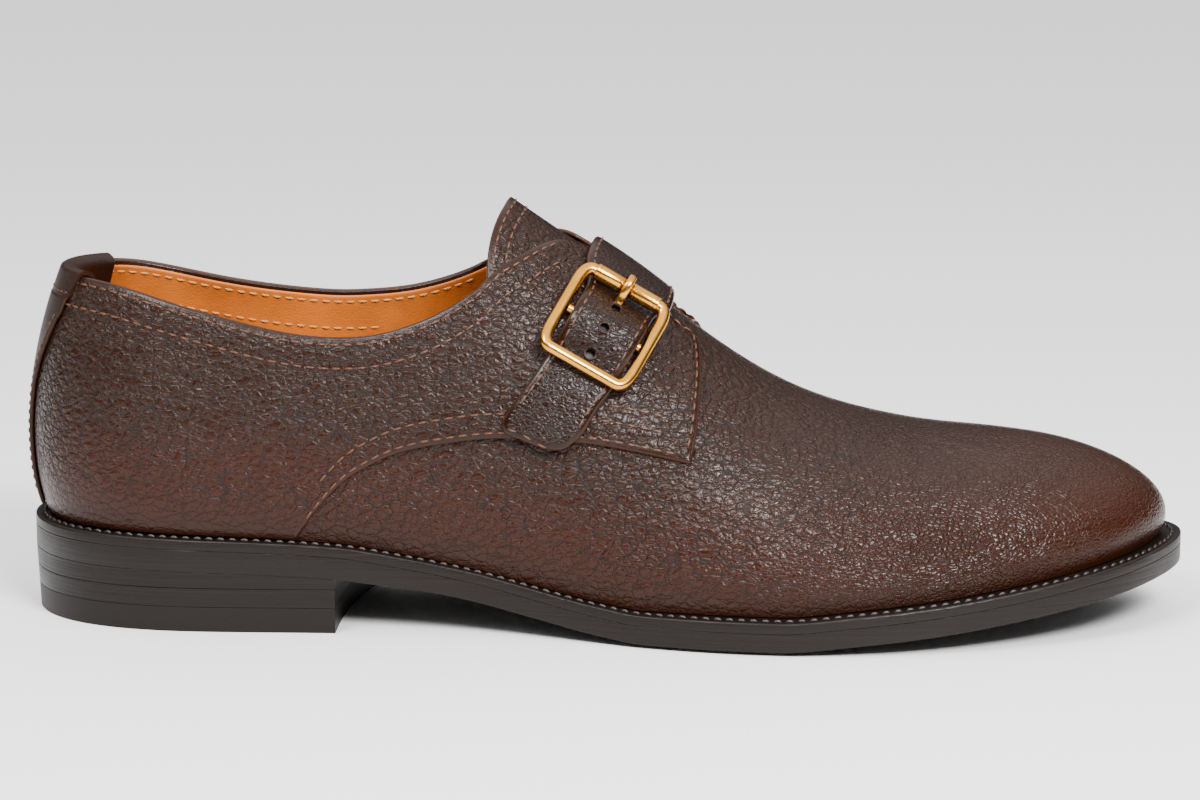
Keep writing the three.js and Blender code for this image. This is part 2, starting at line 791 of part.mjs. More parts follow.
function makeBuckleFrame() {
  const half = buckleHeight / 2
  const rollerOuter = wireRadius + gap + rollerWall
  const onStrap = strapSeat + strapThickness + barPlay
  const above = strapMiddle(girthAtDistance(half, 0), onStrap + rollerOuter)
  const below = strapMiddle(girthAtDistance(half, strapGirths[0]), onStrap + wireRadius)
  const middleX = (strapRear.at(buckleGirth) + strapFront.at(buckleGirth)) / 2
  const reach = 5
  const down = below.clone().sub(above).normalize()
  const along = girthPoint(middleX + reach, buckleGirth, 0)
    .sub(girthPoint(middleX - reach, buckleGirth, 0))
  const across = along.addScaledVector(down, -along.dot(down)).normalize()
  const out = across.clone().cross(down).negate().normalize()
  const centre = above.clone().add(below).multiplyScalar(0.5)
  const seat = strapMiddle(buckleGirth, 0)
  const level = seat.clone().sub(centre).dot(out)
  return { centre, down, across, out, level }
}
const buckle = makeBuckleFrame()

// A point of the buckle: u down the strap, v across it and n out from the frame's own plane
function bucklePoint(u, v, n) {
  return buckle.centre.clone().addScaledVector(buckle.down, u)
    .addScaledVector(buckle.across, v).addScaledVector(buckle.out, n)
}

function makeStrapSheet() {
  const seat = strapMiddle(buckleGirth, 0)
  const grid = offset => Array.from({ length: strapSteps + 1 }, (_, i) => {
    const girth = mix(strapGirths[0], strapGirths[strapGirths.length - 1], i / strapSteps)
    const away = Math.min(1, strapMiddle(girth, 0).distanceTo(seat) / (buckleHeight / 2))
    const lift = strapLift * (1 + Math.cos(Math.PI * away)) / 2
    return Array.from({ length: strapColumns + 1 }, (_, j) => {
      const x = mix(strapRear.at(girth), strapFront.at(girth), j / strapColumns)
      return girthPoint(x, girth, offset + lift)
    })
  })
  return sheet(grid(strapSeat + strapThickness), grid(strapSeat))
}

// A round tube along a curve, closed at both ends or joined into a loop
function tube(curve, radius, steps, sides, closed = false) {
  if (closed) return solidOf(new THREE.TubeGeometry(curve, steps, radius, sides, true))
  const section = new THREE.Shape(Array.from({ length: sides }, (_, i) => {
    const angle = 2 * Math.PI * i / sides
    return new THREE.Vector2(radius * Math.cos(angle), radius * Math.sin(angle))
  }))
  return solidOf(new THREE.ExtrudeGeometry(section, { steps, extrudePath: curve, bevelEnabled: false }))
}

// Centre line of the wire: straight bars joined by corners that run further down the sides
function framePath() {
  const path = new THREE.CurvePath()
  const v = buckleWidth / 2
  const u = buckleHeight / 2
  const point = (down, across) => bucklePoint(down, across, 0)
  const corner = (down, across, fromSide) => {
    const onSide = point(down - Math.sign(down) * cornerDown, across)
    const onBar = point(down, across - Math.sign(across) * cornerAcross)
    const [from, to] = fromSide ? [onSide, onBar] : [onBar, onSide]
    path.add(new THREE.QuadraticBezierCurve3(from, point(down, across), to))
  }
  const side = u - cornerDown
  const bar = v - cornerAcross
  corner(u, v, true)
  path.add(new THREE.LineCurve3(point(u, bar), point(u, -bar)))
  corner(u, -v, false)
  path.add(new THREE.LineCurve3(point(side, -v), point(-side, -v)))
  corner(-u, -v, true)
  path.add(new THREE.LineCurve3(point(-u, -bar), point(-u, bar)))
  corner(-u, v, false)
  path.add(new THREE.LineCurve3(point(-side, v), point(side, v)))
  return path
}

function makeFrame() {
  const bar = new THREE.LineCurve3(
    bucklePoint(0, -buckleWidth / 2, buckle.level + barHeight),
    bucklePoint(0, buckleWidth / 2, buckle.level + barHeight)
  )
  return tube(framePath(), wireRadius, 48, 10, true).add(tube(bar, barRadius, 1, 10))
}

function sleeve(inner, outer, length, centre) {
  const profile = [[inner, -length / 2], [outer, -length / 2], [outer, length / 2], [inner, length / 2]]
  profile.push(profile[0])
  const geometry = new THREE.LatheGeometry(profile.map(([r, y]) => new THREE.Vector2(r, y)), 16)
  const turn = new THREE.Matrix4().makeBasis(buckle.down, buckle.across, buckle.out)
  geometry.applyMatrix4(turn)
  geometry.translate(centre.x, centre.y, centre.z)
  return solidOf(geometry)
}

function makeRoller() {
  const inner = wireRadius + gap
  const length = buckleWidth - 2 * cornerAcross - rollerPlay
  return sleeve(inner, inner + rollerWall, length, bucklePoint(-buckleHeight / 2, 0, 0))
}

// Centre line of the prong, in shares of its reach from the wire that it hooks over: first
// from the centre bar, then from the roller's bar
const ringLength = 2.6
const prongReach = wireRadius + gap + rollerWall + gap + prongRadius
const prongSteps = 26
const prongBarRows = table('down out', [
  [-0.49, 0.03],
  [-1.27, -0.12],
  [-2.34, 0.21]
])
const prongRollerRows = table('down out', [
  [1.04, 0.45],
  [0.72, 0.75],
  [0, 1.015],
  [-0.62, 0.84]
])

function prongPath(trim) {
  const top = -buckleHeight / 2
  const bar = buckle.level + barHeight
  const onBar = prongBarRows.map(({ down, out }) =>
    bucklePoint(down * prongReach, 0, bar + out * prongReach))
  const onRoller = prongRollerRows.map(({ down, out }) =>
    bucklePoint(top + down * prongReach, 0, out * prongReach))
  onBar[0].addScaledVector(buckle.down, -trim)
  return new THREE.CatmullRomCurve3([...onBar, ...onRoller])
}

function makeProng() {
  const ring = sleeve(barRadius + gap, barRadius + gap + ringWall, ringLength,
    bucklePoint(0, 0, buckle.level + barHeight))
  return tube(prongPath(0), prongRadius, prongSteps, 10).add(ring)
}

// Spare holes of the strap, in buckle heights from the buckle's seat towards the ridge
const strapHoleRows = table('up', [[0.68], [0.18], [-0.0586], [-0.3]])
const slotTrim = 2
const slotPlay = gap + 0.05

function makeStrap() {
  const slot = tube(prongPath(slotTrim), prongRadius + slotPlay, prongSteps, 10)
  let strap = makeStrapSheet().subtract(slot)
  for (const { up } of strapHoleRows) {
    const girth = girthAtDistance(Math.abs(up) * buckleHeight, up > 0 ? 0 : strapGirths[0])
    const middle = strapMiddle(girth, 0)
    const position = positionAt((strapRear.at(girth) + strapFront.at(girth)) / 2, sideSign(girth))
    const out = lastNormalAt(position, 1 - Math.abs(girth))
    const depth = strapSeat + strapThickness + strapLift + gap
    strap = strap.subtract(tube(new THREE.LineCurve3(middle, middle.clone().addScaledVector(out, depth)),
      holeRadius, 1, 10))
  }
  return strap
}

// Finished meshes
function meshOf(name, solid, material) {
  const { vertProperties, triVerts } = solid.getMesh()
  const geometry = new THREE.BufferGeometry()
  geometry.setAttribute('position', new THREE.BufferAttribute(new Float32Array(vertProperties), 3))
  geometry.setIndex(Array.from(triVerts))
  geometry.computeVertexNormals()
  const mesh = new THREE.Mesh(geometry, material)
  mesh.name = name
  return mesh
}

const upperLeather = new THREE.MeshStandardMaterial({ color: 0x432a20, roughness: 0.5, metalness: 0 })
const trimLeather = new THREE.MeshStandardMaterial({ color: 0x3a241b, roughness: 0.5, metalness: 0 })
const soleLeather = new THREE.MeshStandardMaterial({ color: 0x2a1f1b, roughness: 0.45, metalness: 0 })
const footbedLeather = new THREE.MeshStandardMaterial({ color: 0xb5672c, roughness: 0.7, metalness: 0 })
const heelRubber = new THREE.MeshStandardMaterial({ color: 0x1c1917, roughness: 0.8, metalness: 0 })
const brass = new THREE.MeshStandardMaterial({ color: 0xcf9a45, roughness: 0.25, metalness: 1 })

const shoe = new THREE.Group()
const floorLine = () => 0
shoe.add(meshOf('outsole', makeOutsole(), soleLeather))
shoe.add(meshOf('welt', makeWelt(), soleLeather))
shoe.add(meshOf('heel_lift_upper', heelSlab(() => liftTop + gap, seatHeight), soleLeather))
shoe.add(meshOf('heel_lift_lower', heelSlab(() => topPieceThickness + gap, () => liftTop), soleLeather))
shoe.add(meshOf('heel_top_piece', heelSlab(floorLine, () => topPieceThickness), heelRubber))
shoe.add(meshOf('insole', makeInsole(), footbedLeather))
shoe.add(meshOf('upper', makeUpper(), upperLeather))
shoe.add(meshOf('tongue', makeTongue(), upperLeather))
shoe.add(meshOf('back_strip', makeBackStrip(), trimLeather))
shoe.add(meshOf('heel_tab', makeHeelTab(), trimLeather))
shoe.add(meshOf('strap', makeStrap(), upperLeather))
shoe.add(meshOf('buckle_frame', makeFrame(), brass))
shoe.add(meshOf('buckle_roller', makeRoller(), brass))
shoe.add(meshOf('buckle_prong', makeProng(), brass))

// Origin at the bottom centre of the shoe
const box = new THREE.Box3().setFromObject(shoe)
const centre = box.getCenter(new THREE.Vector3())
shoe.position.set(-centre.x, -centre.y, -box.min.z)

export default shoe
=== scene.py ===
import math

import bmesh
import bpy
import numpy as np
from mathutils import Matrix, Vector


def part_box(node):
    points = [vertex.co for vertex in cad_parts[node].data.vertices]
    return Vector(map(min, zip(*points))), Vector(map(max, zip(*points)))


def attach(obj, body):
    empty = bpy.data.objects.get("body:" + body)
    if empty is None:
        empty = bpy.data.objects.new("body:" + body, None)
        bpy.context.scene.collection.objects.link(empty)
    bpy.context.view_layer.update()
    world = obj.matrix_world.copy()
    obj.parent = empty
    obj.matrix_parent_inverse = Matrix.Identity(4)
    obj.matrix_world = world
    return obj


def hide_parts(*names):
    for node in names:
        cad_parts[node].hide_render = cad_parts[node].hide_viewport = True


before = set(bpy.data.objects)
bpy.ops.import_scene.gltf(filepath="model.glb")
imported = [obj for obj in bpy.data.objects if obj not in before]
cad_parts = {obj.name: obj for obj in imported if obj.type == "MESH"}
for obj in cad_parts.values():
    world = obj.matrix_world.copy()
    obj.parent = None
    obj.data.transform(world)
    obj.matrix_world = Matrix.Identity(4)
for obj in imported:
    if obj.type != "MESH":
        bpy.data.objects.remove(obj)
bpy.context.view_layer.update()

bl_info = {
    "name": "Monk strap shoe",
    "version": (1, 0, 0),
    "blender": (4, 5, 0),
    "location": "3D View > Sidebar > Shoe",
    "description": "Builds a right monk strap shoe in leather over its solid frame",
    "category": "Object",
}

# Sizes of the last and the sole in millimetres
SOLE_LENGTH = 298.2
BALL_WIDTH = 104.0
HEEL_HEIGHT = 16.3
TOE_SPRING = 13.0
INSTEP_RISE = 92.0
WELT_REACH = 5.5
OUTSOLE_THICKNESS = 5.5
OUTSOLE_EDGE_RISE = 1.0
WELT_THICKNESS = 2.6
WELT_SEAT = 8.0
INSOLE_THICKNESS = 3.0
TOP_PIECE_THICKNESS = 6.4
WALL = 1.9
QUARTER_STEP = 1.3
TONGUE_THICKNESS = 1.8
STRIP_THICKNESS = 1.2
TAB_THICKNESS = 1.0
STRAP_THICKNESS = 2.0
GAP = 0.3
TONGUE_GAP = 0.5
LINING_THICKNESS = 1.0

# The buckle in millimetres
BUCKLE_WIDTH = 23.8
BUCKLE_HEIGHT = 25.6
CORNER_ACROSS = 2.6
CORNER_DOWN = 5.5
BAR_PLAY = 1.5
WIRE_RADIUS = 1.45
ROLLER_WALL = 0.35
ROLLER_PLAY = 0.5
BAR_RADIUS = 1.1
PRONG_RADIUS = 0.95
HOLE_RADIUS = 1.3
RING_WALL = 0.5
RING_LENGTH = 2.6

# Underside of the sole: along in sole lengths, heel in heel heights, toe in toe springs
FLOOR_ROWS = np.array([
    (0, 1, 0), (0.095, 0.975, 0), (0.195, 0.935, 0), (0.275, 0.865, 0), (0.336, 0.7, 0),
    (0.396, 0.5, 0), (0.446, 0.29, 0), (0.496, 0.1, 0), (0.541, 0, 0), (0.652, 0, 0),
    (0.717, 0, 0.135), (0.787, 0, 0.3), (0.858, 0, 0.51), (0.928, 0, 0.745), (1, 0, 1),
])

# Ridge of the last: along in sole lengths, rise in instep rises, side in half ball widths
RIDGE_ROWS = np.array([
    (0.1449, 1.12, 0), (0.2624, 1.113, 0.01), (0.3628, 1.077, 0.03), (0.418, 1, 0.05),
    (0.4672, 0.926, 0.07), (0.5194, 0.842, 0.085), (0.5716, 0.718, 0.1), (0.6228, 0.601, 0.115),
    (0.675, 0.511, 0.12), (0.7272, 0.441, 0.12), (0.7795, 0.393, 0.12), (0.8317, 0.358, 0.115),
    (0.8708, 0.327, 0.11),
])

# Foot of the upper from the heel round the outer side: along, across, margin, bulge, full, top
OUTLINE_ROWS = np.array([
    (0, 0, 0.89, 0.292, 0.34, 0.57), (0.0253, -0.394, 0.85, 0.255, 0.34, 0.55),
    (0.085, -0.604, 0.82, 0.17, 0.345, 0.54), (0.1853, -0.665, 0.75, 0.11, 0.35, 0.6),
    (0.2958, -0.672, 0.64, 0.11, 0.35, 0.64), (0.4003, -0.71, 0.62, 0.09, 0.38, 0.72),
    (0.5038, -0.828, 0.75, 0.085, 0.42, 0.64), (0.6013, -0.959, 0.95, 0.08, 0.45, 0.57),
    (0.6877, -1, 1, 0.075, 0.49, 0.55), (0.7742, -0.955, 1, 0.075, 0.52, 0.56),
    (0.8616, -0.794, 1, 0.09, 0.53, 0.57), (0.938, -0.538, 1, 0.11, 0.53, 0.53),
    (0.9842, -0.213, 1, 0.15, 0.525, 0.5), (1, 0.086, 1, 0.165, 0.53, 0.49),
    (0.9827, 0.366, 1, 0.15, 0.525, 0.5), (0.938, 0.613, 1, 0.11, 0.53, 0.53),
    (0.8616, 0.828, 1, 0.09, 0.53, 0.57), (0.7742, 0.968, 1, 0.075, 0.51, 0.56),
    (0.6983, 1, 1, 0.07, 0.48, 0.56), (0.6083, 0.953, 0.92, 0.065, 0.44, 0.58),
    (0.5038, 0.774, 0.7, 0.07, 0.42, 0.64), (0.4003, 0.613, 0.58, 0.09, 0.4, 0.72),
    (0.2958, 0.563, 0.58, 0.11, 0.35, 0.64), (0.1853, 0.585, 0.72, 0.11, 0.35, 0.6),
    (0.085, 0.574, 0.82, 0.17, 0.345, 0.55), (0.0253, 0.378, 0.85, 0.255, 0.34, 0.55),
])
TIP_ROW = 13

# Collar line: along in sole lengths, outer and inner in shares of the rise beside it
COLLAR_RISE = 64.2
COLLAR_ROWS = np.array([
    (0.0345, 0.99, 0.99), (0.0676, 0.977, 0.972), (0.1017, 0.938, 0.93), (0.1319, 0.887, 0.885),
    (0.178, 0.808, 0.823), (0.2242, 0.735, 0.772), (0.2704, 0.687, 0.735), (0.3046, 0.679, 0.728),
    (0.3307, 0.694, 0.734), (0.3558, 0.718, 0.748), (0.3799, 0.752, 0.77), (0.405, 0.795, 0.802),
])
THROAT_ROWS = np.array([
    (0.4009, 0.535), (0.417, 0.48), (0.4331, 0.41), (0.4511, 0.29), (0.4652, 0.18),
    (0.4762, 0.11), (0.4883, 0.07), (0.4963, 0.03),
])
THROAT_INNER = 0.77

# Edges of the quarters in the side view: along in sole lengths, up in instep rises
QUARTER_LOWER = np.array([
    (0.2413, 0), (0.2584, 0.083), (0.2825, 0.175), (0.3056, 0.234), (0.3307, 0.284),
    (0.3648, 0.328), (0.416, 0.382), (0.4853, 0.426), (0.5264, 0.43), (0.5773, 0.401),
])
QUARTER_FRONT = np.array([
    (0.5773, 0.401), (0.5817, 0.49), (0.583, 0.614), (0.5781, 0.69), (0.5656, 0.72),
    (0.5495, 0.775), (0.5395, 0.85),
])

# Back strip: up in collar rises, half in half widths of the foot
BACK_ROWS = np.array([(0.03, 0.15), (0.25, 0.15), (0.48, 0.165), (0.68, 0.25), (0.86, 0.33), (1.1, 0.37)])
TAB_SEAM = 0.9

# Strap edges: girth, then rear and front in sole lengths
STRAP_ROWS = np.array([
    (-0.69, 0.4213, 0.4552), (-0.68, 0.4193, 0.4672), (-0.665, 0.4197, 0.4752),
    (-0.64, 0.4237, 0.4836), (-0.58, 0.4371, 0.4946), (-0.51, 0.4508, 0.5077),
    (-0.45, 0.4609, 0.5164), (-0.385, 0.4692, 0.5239), (-0.32, 0.4767, 0.5305),
    (-0.25, 0.4828, 0.537), (-0.21, 0.4828, 0.5415), (-0.17, 0.4813, 0.5485),
    (-0.12, 0.4816, 0.5518), (-0.06, 0.483, 0.5528), (0, 0.4843, 0.5528), (0.1, 0.483, 0.5512),
    (0.2, 0.4796, 0.5472), (0.3, 0.4735, 0.5412), (0.4, 0.4655, 0.5332), (0.5, 0.4545, 0.5244),
    (0.56, 0.4461, 0.5164), (0.59, 0.446, 0.511), (0.606, 0.4495, 0.505), (0.616, 0.458, 0.496),
])
BUCKLE_GIRTH = -0.362
STRAP_HOLES = (0.68, 0.18, -0.0586, -0.3)

HEEL_POLE = 0.1449 * SOLE_LENGTH
TOE_POLE = 0.8708 * SOLE_LENGTH
THROAT_BACK = 0.405 * SOLE_LENGTH
THROAT_FRONT = 0.4963 * SOLE_LENGTH
POCKET_BACK = 0.3889 * SOLE_LENGTH
POCKET_FRONT = 0.5415 * SOLE_LENGTH
POCKET_GIRTH = 7 / 13
TONGUE_BACK = 0.4029 * SOLE_LENGTH
TONGUE_CREST = 0.418 * SOLE_LENGTH
TONGUE_SHOULDER = 0.36
BREAST_OUTER = 0.2754 * SOLE_LENGTH
BREAST_INNER = 0.2995 * SOLE_LENGTH
BREAST_HOLLOW = 2.5
HEEL_TAPER = 0.8


def mix(start, end, share):
    """A value at a share of the way from start to end."""
    return start + (end - start) * share


def smooth(low, high, value):
    """A soft step from 0 at low to 1 at high, or back where low is the higher one."""
    share = np.clip((value - low) / (high - low), 0, 1)
    return share * share * (3 - 2 * share)


class Curve:
    """A smooth curve through knots. With a period it closes; a gentle one never overshoots."""

    def __init__(self, knots, values, period=0.0, gentle=False):
        self.period = period
        self.knots = np.append(knots, knots[0] + period) if period else np.asarray(knots, float)
        self.values = np.append(values, values[0]) if period else np.asarray(values, float)
        step = np.diff(self.knots)
        rate = np.diff(self.values) / step
        self.slopes = self.gentle(rate) if gentle else self.even(step, rate)

    def gentle(self, rate):
        before, after = rate[:-1], rate[1:]
        turning = before * after > 0
        inner = np.where(turning, 2 * before * after / np.where(turning, before + after, 1), 0)
        return np.concatenate([rate[:1], inner, rate[-1:]])

    def even(self, step, rate):
        last = len(step)
        rows = np.zeros((last + 1, last + 1))
        sums = np.zeros(last + 1)
        for i in range(1, last):
            rows[i, i - 1:i + 2] = step[i], 2 * (step[i - 1] + step[i]), step[i - 1]
            sums[i] = 3 * (step[i] * rate[i - 1] + step[i - 1] * rate[i])
        if self.period:
            rows[0, 0] = 2 * (step[-1] + step[0])
            rows[0, last - 1] += step[0]
            rows[0, 1] += step[-1]
            sums[0] = 3 * (step[0] * rate[-1] + step[-1] * rate[0])
            rows[last, last], rows[last, 0] = 1, -1
        else:
            rows[0, :2] = 2, 1
            rows[last, last - 1:] = 1, 2
            sums[0], sums[last] = 3 * rate[0], 3 * rate[-1]
        return np.linalg.solve(rows, sums)

    def piece(self, position):
        first, last = self.knots[0], self.knots[-1]
        position = np.asarray(position, float)
        wrapped = (position - first) % self.period + first if self.period else np.clip(position, first, last)
        i = np.clip(np.searchsorted(self.knots, wrapped, side="right") - 1, 0, len(self.knots) - 2)
        step = self.knots[i + 1] - self.knots[i]
        return i, step, (wrapped - self.knots[i]) / step

    def at(self, position):
        i, step, s = self.piece(position)
        value = (1 + 2 * s) * (1 - s) ** 2 * self.values[i] + s * s * (3 - 2 * s) * self.values[i + 1]
        return value + step * (s * (1 - s) ** 2 * self.slopes[i] - s * s * (1 - s) * self.slopes[i + 1])

    def slope(self, position):
        i, step, s = self.piece(position)
        change = 6 * s * (1 - s) * (self.values[i + 1] - self.values[i]) / step
        return change + (1 - s) * (1 - 3 * s) * self.slopes[i] + s * (3 * s - 2) * self.slopes[i + 1]


SOLE_BOTTOM = Curve(FLOOR_ROWS[:, 0] * SOLE_LENGTH,
                    FLOOR_ROWS[:, 1] * HEEL_HEIGHT + FLOOR_ROWS[:, 2] * TOE_SPRING, gentle=True)
EDGE_RISE = Curve(np.array([0.3, 0.38, 1]) * SOLE_LENGTH, np.array([0, 1, 1]) * OUTSOLE_EDGE_RISE,
                  gentle=True)


def outsole_top(x):
    """Height of the outsole's upper face, on which the welt and the heel seat lie."""
    return SOLE_BOTTOM.at(x) + OUTSOLE_THICKNESS


def welt_bottom(x):
    return outsole_top(x) + GAP


def welt_top(x):
    return welt_bottom(x) + WELT_THICKNESS


def foot_height(x):
    """Height on which the upper and the footbed stand."""
    return welt_top(x) + GAP


FOOT_BACK = WELT_REACH * OUTLINE_ROWS[0, 2]
FOOT_LENGTH = SOLE_LENGTH - WELT_REACH * (OUTLINE_ROWS[0, 2] + OUTLINE_ROWS[TIP_ROW, 2])
HALF_WIDTH = BALL_WIDTH / 2 - WELT_REACH
RIDGE_ALONG = RIDGE_ROWS[:, 0] * SOLE_LENGTH
RIDGE_HEIGHT = Curve(RIDGE_ALONG, foot_height(RIDGE_ALONG) + RIDGE_ROWS[:, 1] * INSTEP_RISE)
RIDGE_SIDE = Curve(RIDGE_ALONG, RIDGE_ROWS[:, 2] * HALF_WIDTH)
FOOT_POINTS = np.stack([FOOT_BACK + OUTLINE_ROWS[:, 0] * FOOT_LENGTH, OUTLINE_ROWS[:, 1] * HALF_WIDTH], 1)
CHORDS = np.linalg.norm(np.roll(FOOT_POINTS, -1, 0) - FOOT_POINTS, axis=1)
FOOT_KNOTS = np.concatenate([[0], np.cumsum(CHORDS[:-1])])
FOOT_PERIOD = CHORDS.sum()


def around(values):
    """A closed curve round the foot of the upper."""
    return Curve(FOOT_KNOTS, values, period=FOOT_PERIOD)


FOOT_X = around(FOOT_POINTS[:, 0])
FOOT_Y = around(FOOT_POINTS[:, 1])
FOOT_MARGIN = around(OUTLINE_ROWS[:, 2] * WELT_REACH)
FOOT_BULGE = around(OUTLINE_ROWS[:, 3] * HALF_WIDTH)
FOOT_FULL = around(OUTLINE_ROWS[:, 4])
FOOT_TOP = around(OUTLINE_ROWS[:, 5])
TIP_POSITION = FOOT_KNOTS[TIP_ROW]
SEARCH_POINTS = 6000
OUTER_POSITIONS = np.linspace(0, TIP_POSITION, SEARCH_POINTS)
INNER_POSITIONS = np.linspace(FOOT_PERIOD, TIP_POSITION, SEARCH_POINTS)
OUTER_XS = np.maximum.accumulate(FOOT_X.at(OUTER_POSITIONS))
INNER_XS = np.maximum.accumulate(FOOT_X.at(INNER_POSITIONS))


def position_at(x, side):
    """Position on the foot curve where one side of the shoe reaches x."""
    outer = np.interp(x, OUTER_XS, OUTER_POSITIONS)
    inner = np.interp(x, INNER_XS, INNER_POSITIONS)
    return np.where(np.asarray(side) < 0, outer, inner)


def outward(position):
    """The direction in plan that leads away from the foot curve."""
    away = np.stack([FOOT_Y.slope(position), -FOOT_X.slope(position)], -1)
    return away / np.linalg.norm(away, axis=-1, keepdims=True)


def last_point(position, level):
    """A point of the last: level 0 is its foot and level 1 its ridge."""
    position, level = np.broadcast_arrays(np.asarray(position, float), np.asarray(level, float))
    x = FOOT_X.at(position)
    pole_x = np.clip(x, HEEL_POLE, TOE_POLE)
    pole_y = RIDGE_SIDE.at(pole_x)
    dx, dy = x - pole_x, FOOT_Y.at(position) - pole_y
    reach = np.hypot(dx, dy)
    low, high = foot_height(x), RIDGE_HEIGHT.at(pole_x)
    top = FOOT_TOP.at(position) * reach
    slope = RIDGE_HEIGHT.slope(pole_x) * dx / reach
    rest = 1 - level
    first, second, third = rest ** 3, 3 * rest * rest * level, 3 * rest * level * level
    r = first * reach + second * (reach + FOOT_BULGE.at(position)) + third * top
    z = first * low + second * mix(low, high, FOOT_FULL.at(position)) + third * (high + slope * top)
    return np.stack([pole_x + dx / reach * r, pole_y + dy / reach * r, z + level ** 3 * high], -1)


def unit(vectors):
    return vectors / np.maximum(np.linalg.norm(vectors, axis=-1, keepdims=True), 1e-9)


# Above this level a point faces as the ridge does
RIDGE_LEVEL = 0.995
# Below this level the offsets turn level, so that nothing runs down into the welt
LEVELLED = 0.12
# Steps over which a normal is measured: in levels, and in millimetres along the foot
LEVEL_STEP = 0.002
ALONG_STEP = 0.2


def last_normal(position, level):
    """The direction that leads straight out of the last."""
    position, level = np.broadcast_arrays(np.asarray(position, float), np.asarray(level, float))
    pole_x = np.clip(FOOT_X.at(position), HEEL_POLE, TOE_POLE)
    ridge = np.stack([-RIDGE_HEIGHT.slope(pole_x), np.zeros_like(pole_x), np.ones_like(pole_x)], -1)
    held = np.minimum(level, RIDGE_LEVEL)
    up = last_point(position, held + LEVEL_STEP) - last_point(position, np.maximum(held - LEVEL_STEP, 0))
    along = last_point(position + ALONG_STEP, held) - last_point(position - ALONG_STEP, held)
    normal = unit(np.cross(along, up))
    normal[..., 2] *= np.minimum(1, level / LEVELLED)
    return unit(np.where((level > RIDGE_LEVEL)[..., None], unit(ridge), normal))


def formed(position, level, offset):
    """A point at an offset in millimetres from the last."""
    return last_point(position, level) + last_normal(position, level) * np.asarray(offset, float)[..., None]


# Ways to place a point: each takes a pair of numbers and gives a position, a level and a lift
def by_position(pairs):
    return pairs[..., 0], pairs[..., 1], np.zeros(pairs.shape[:-1])


def by_girth(pairs):
    """Pairs of x and girth, from -1 at the outer foot over 0 on the ridge to 1 at the inner foot."""
    return position_at(pairs[..., 0], np.where(pairs[..., 1] < 0, -1, 1)), 1 - np.abs(pairs[..., 1]), \
        np.zeros(pairs.shape[:-1])


STRAP_REAR = Curve(STRAP_ROWS[:, 0], STRAP_ROWS[:, 1] * SOLE_LENGTH)
STRAP_FRONT = Curve(STRAP_ROWS[:, 0], STRAP_ROWS[:, 2] * SOLE_LENGTH)
STRAP_SEAT = QUARTER_STEP + GAP
STRAP_TOP = STRAP_SEAT + STRAP_THICKNESS
STRAP_LIFT = 2 * RING_WALL + 2 * GAP + 2 * BAR_RADIUS + GAP


def strap_middle(girth, offset):
    """A point on the strap's centre line, at an offset from the last."""
    x = (STRAP_REAR.at(girth) + STRAP_FRONT.at(girth)) / 2
    place = by_girth(np.stack([x, np.asarray(girth, float)], -1))
    return formed(place[0], place[1], np.full(np.shape(place[1]), float(offset)))


BUCKLE_SEAT = strap_middle(BUCKLE_GIRTH, 0)


def by_strap(pairs):
    """Pairs of girth and share across the strap, from its rear edge to its front edge."""
    girth, share = pairs[..., 0], pairs[..., 1]
    x = mix(STRAP_REAR.at(girth), STRAP_FRONT.at(girth), share)
    position, level, _ = by_girth(np.stack([x, girth], -1))
    away = np.linalg.norm(strap_middle(girth, 0) - BUCKLE_SEAT, axis=-1) / (BUCKLE_HEIGHT / 2)
    return position, level, STRAP_LIFT * (1 + np.cos(np.pi * np.minimum(away, 1))) / 2


def placed(way, pairs, offset):
    """Points for pairs, at an offset from the last and with the lift of their way."""
    position, level, lift = way(np.asarray(pairs, float))
    return formed(position, level, np.broadcast_to(offset, level.shape) + lift)


def facing(way, pairs):
    """The outward directions at pairs."""
    position, level, _ = way(np.asarray(pairs, float))
    return last_normal(position, level)


# From the modelling frame in millimetres to the row's frame in metres
SHIFT = np.array([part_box("outsole")[0].x * 1000, 0, 0])


def in_metres(points):
    """Points of the modelling frame in the row's frame."""
    return (np.asarray(points) + SHIFT) / 1000


def in_millimetres(setting):
    """A length from the panel, which holds metres to single precision."""
    return round(setting * 1000, 4)


def linear(code):
    """An sRGB hex colour as linear red, green, blue and alpha."""
    values = [int(code[i:i + 2], 16) / 255 for i in (0, 2, 4)]
    return tuple(v / 12.92 if v <= 0.04045 else ((v + 0.055) / 1.055) ** 2.4 for v in values) + (1.0,)


def scaled(colour, share):
    """A colour made darker or lighter, with a full alpha."""
    return tuple(min(1.0, share * value) for value in colour[:3]) + (1.0,)


def repeats(width):
    """How often a pattern of a width in millimetres repeats in a metre."""
    return 1000 / width


def fill(tree, node, inputs):
    """Sets a node's inputs, by name or in order: another node's socket is linked in."""
    for key, value in inputs.items() if isinstance(inputs, dict) else enumerate(inputs):
        if isinstance(value, bpy.types.NodeSocket):
            tree.links.new(value, node.inputs[key])
        else:
            node.inputs[key].default_value = value


def add_node(tree, kind, inputs=(), out=0, **settings):
    """Adds one node with its settings and links, and gives one of its outputs."""
    made = tree.nodes.new("ShaderNode" + kind)
    for key, value in settings.items():
        setattr(made, key, value)
    fill(tree, made, inputs)
    return made.outputs[out]


def new_material(name):
    """An empty material with its node tree and its shader."""
    made = bpy.data.materials.new(name)
    made.use_nodes = True
    tree = made.node_tree
    tree.nodes.clear()
    out = tree.nodes.new("ShaderNodeOutputMaterial")
    shader = tree.nodes.new("ShaderNodeBsdfPrincipled")
    tree.links.new(shader.outputs["BSDF"], out.inputs["Surface"])
    return made, tree, shader


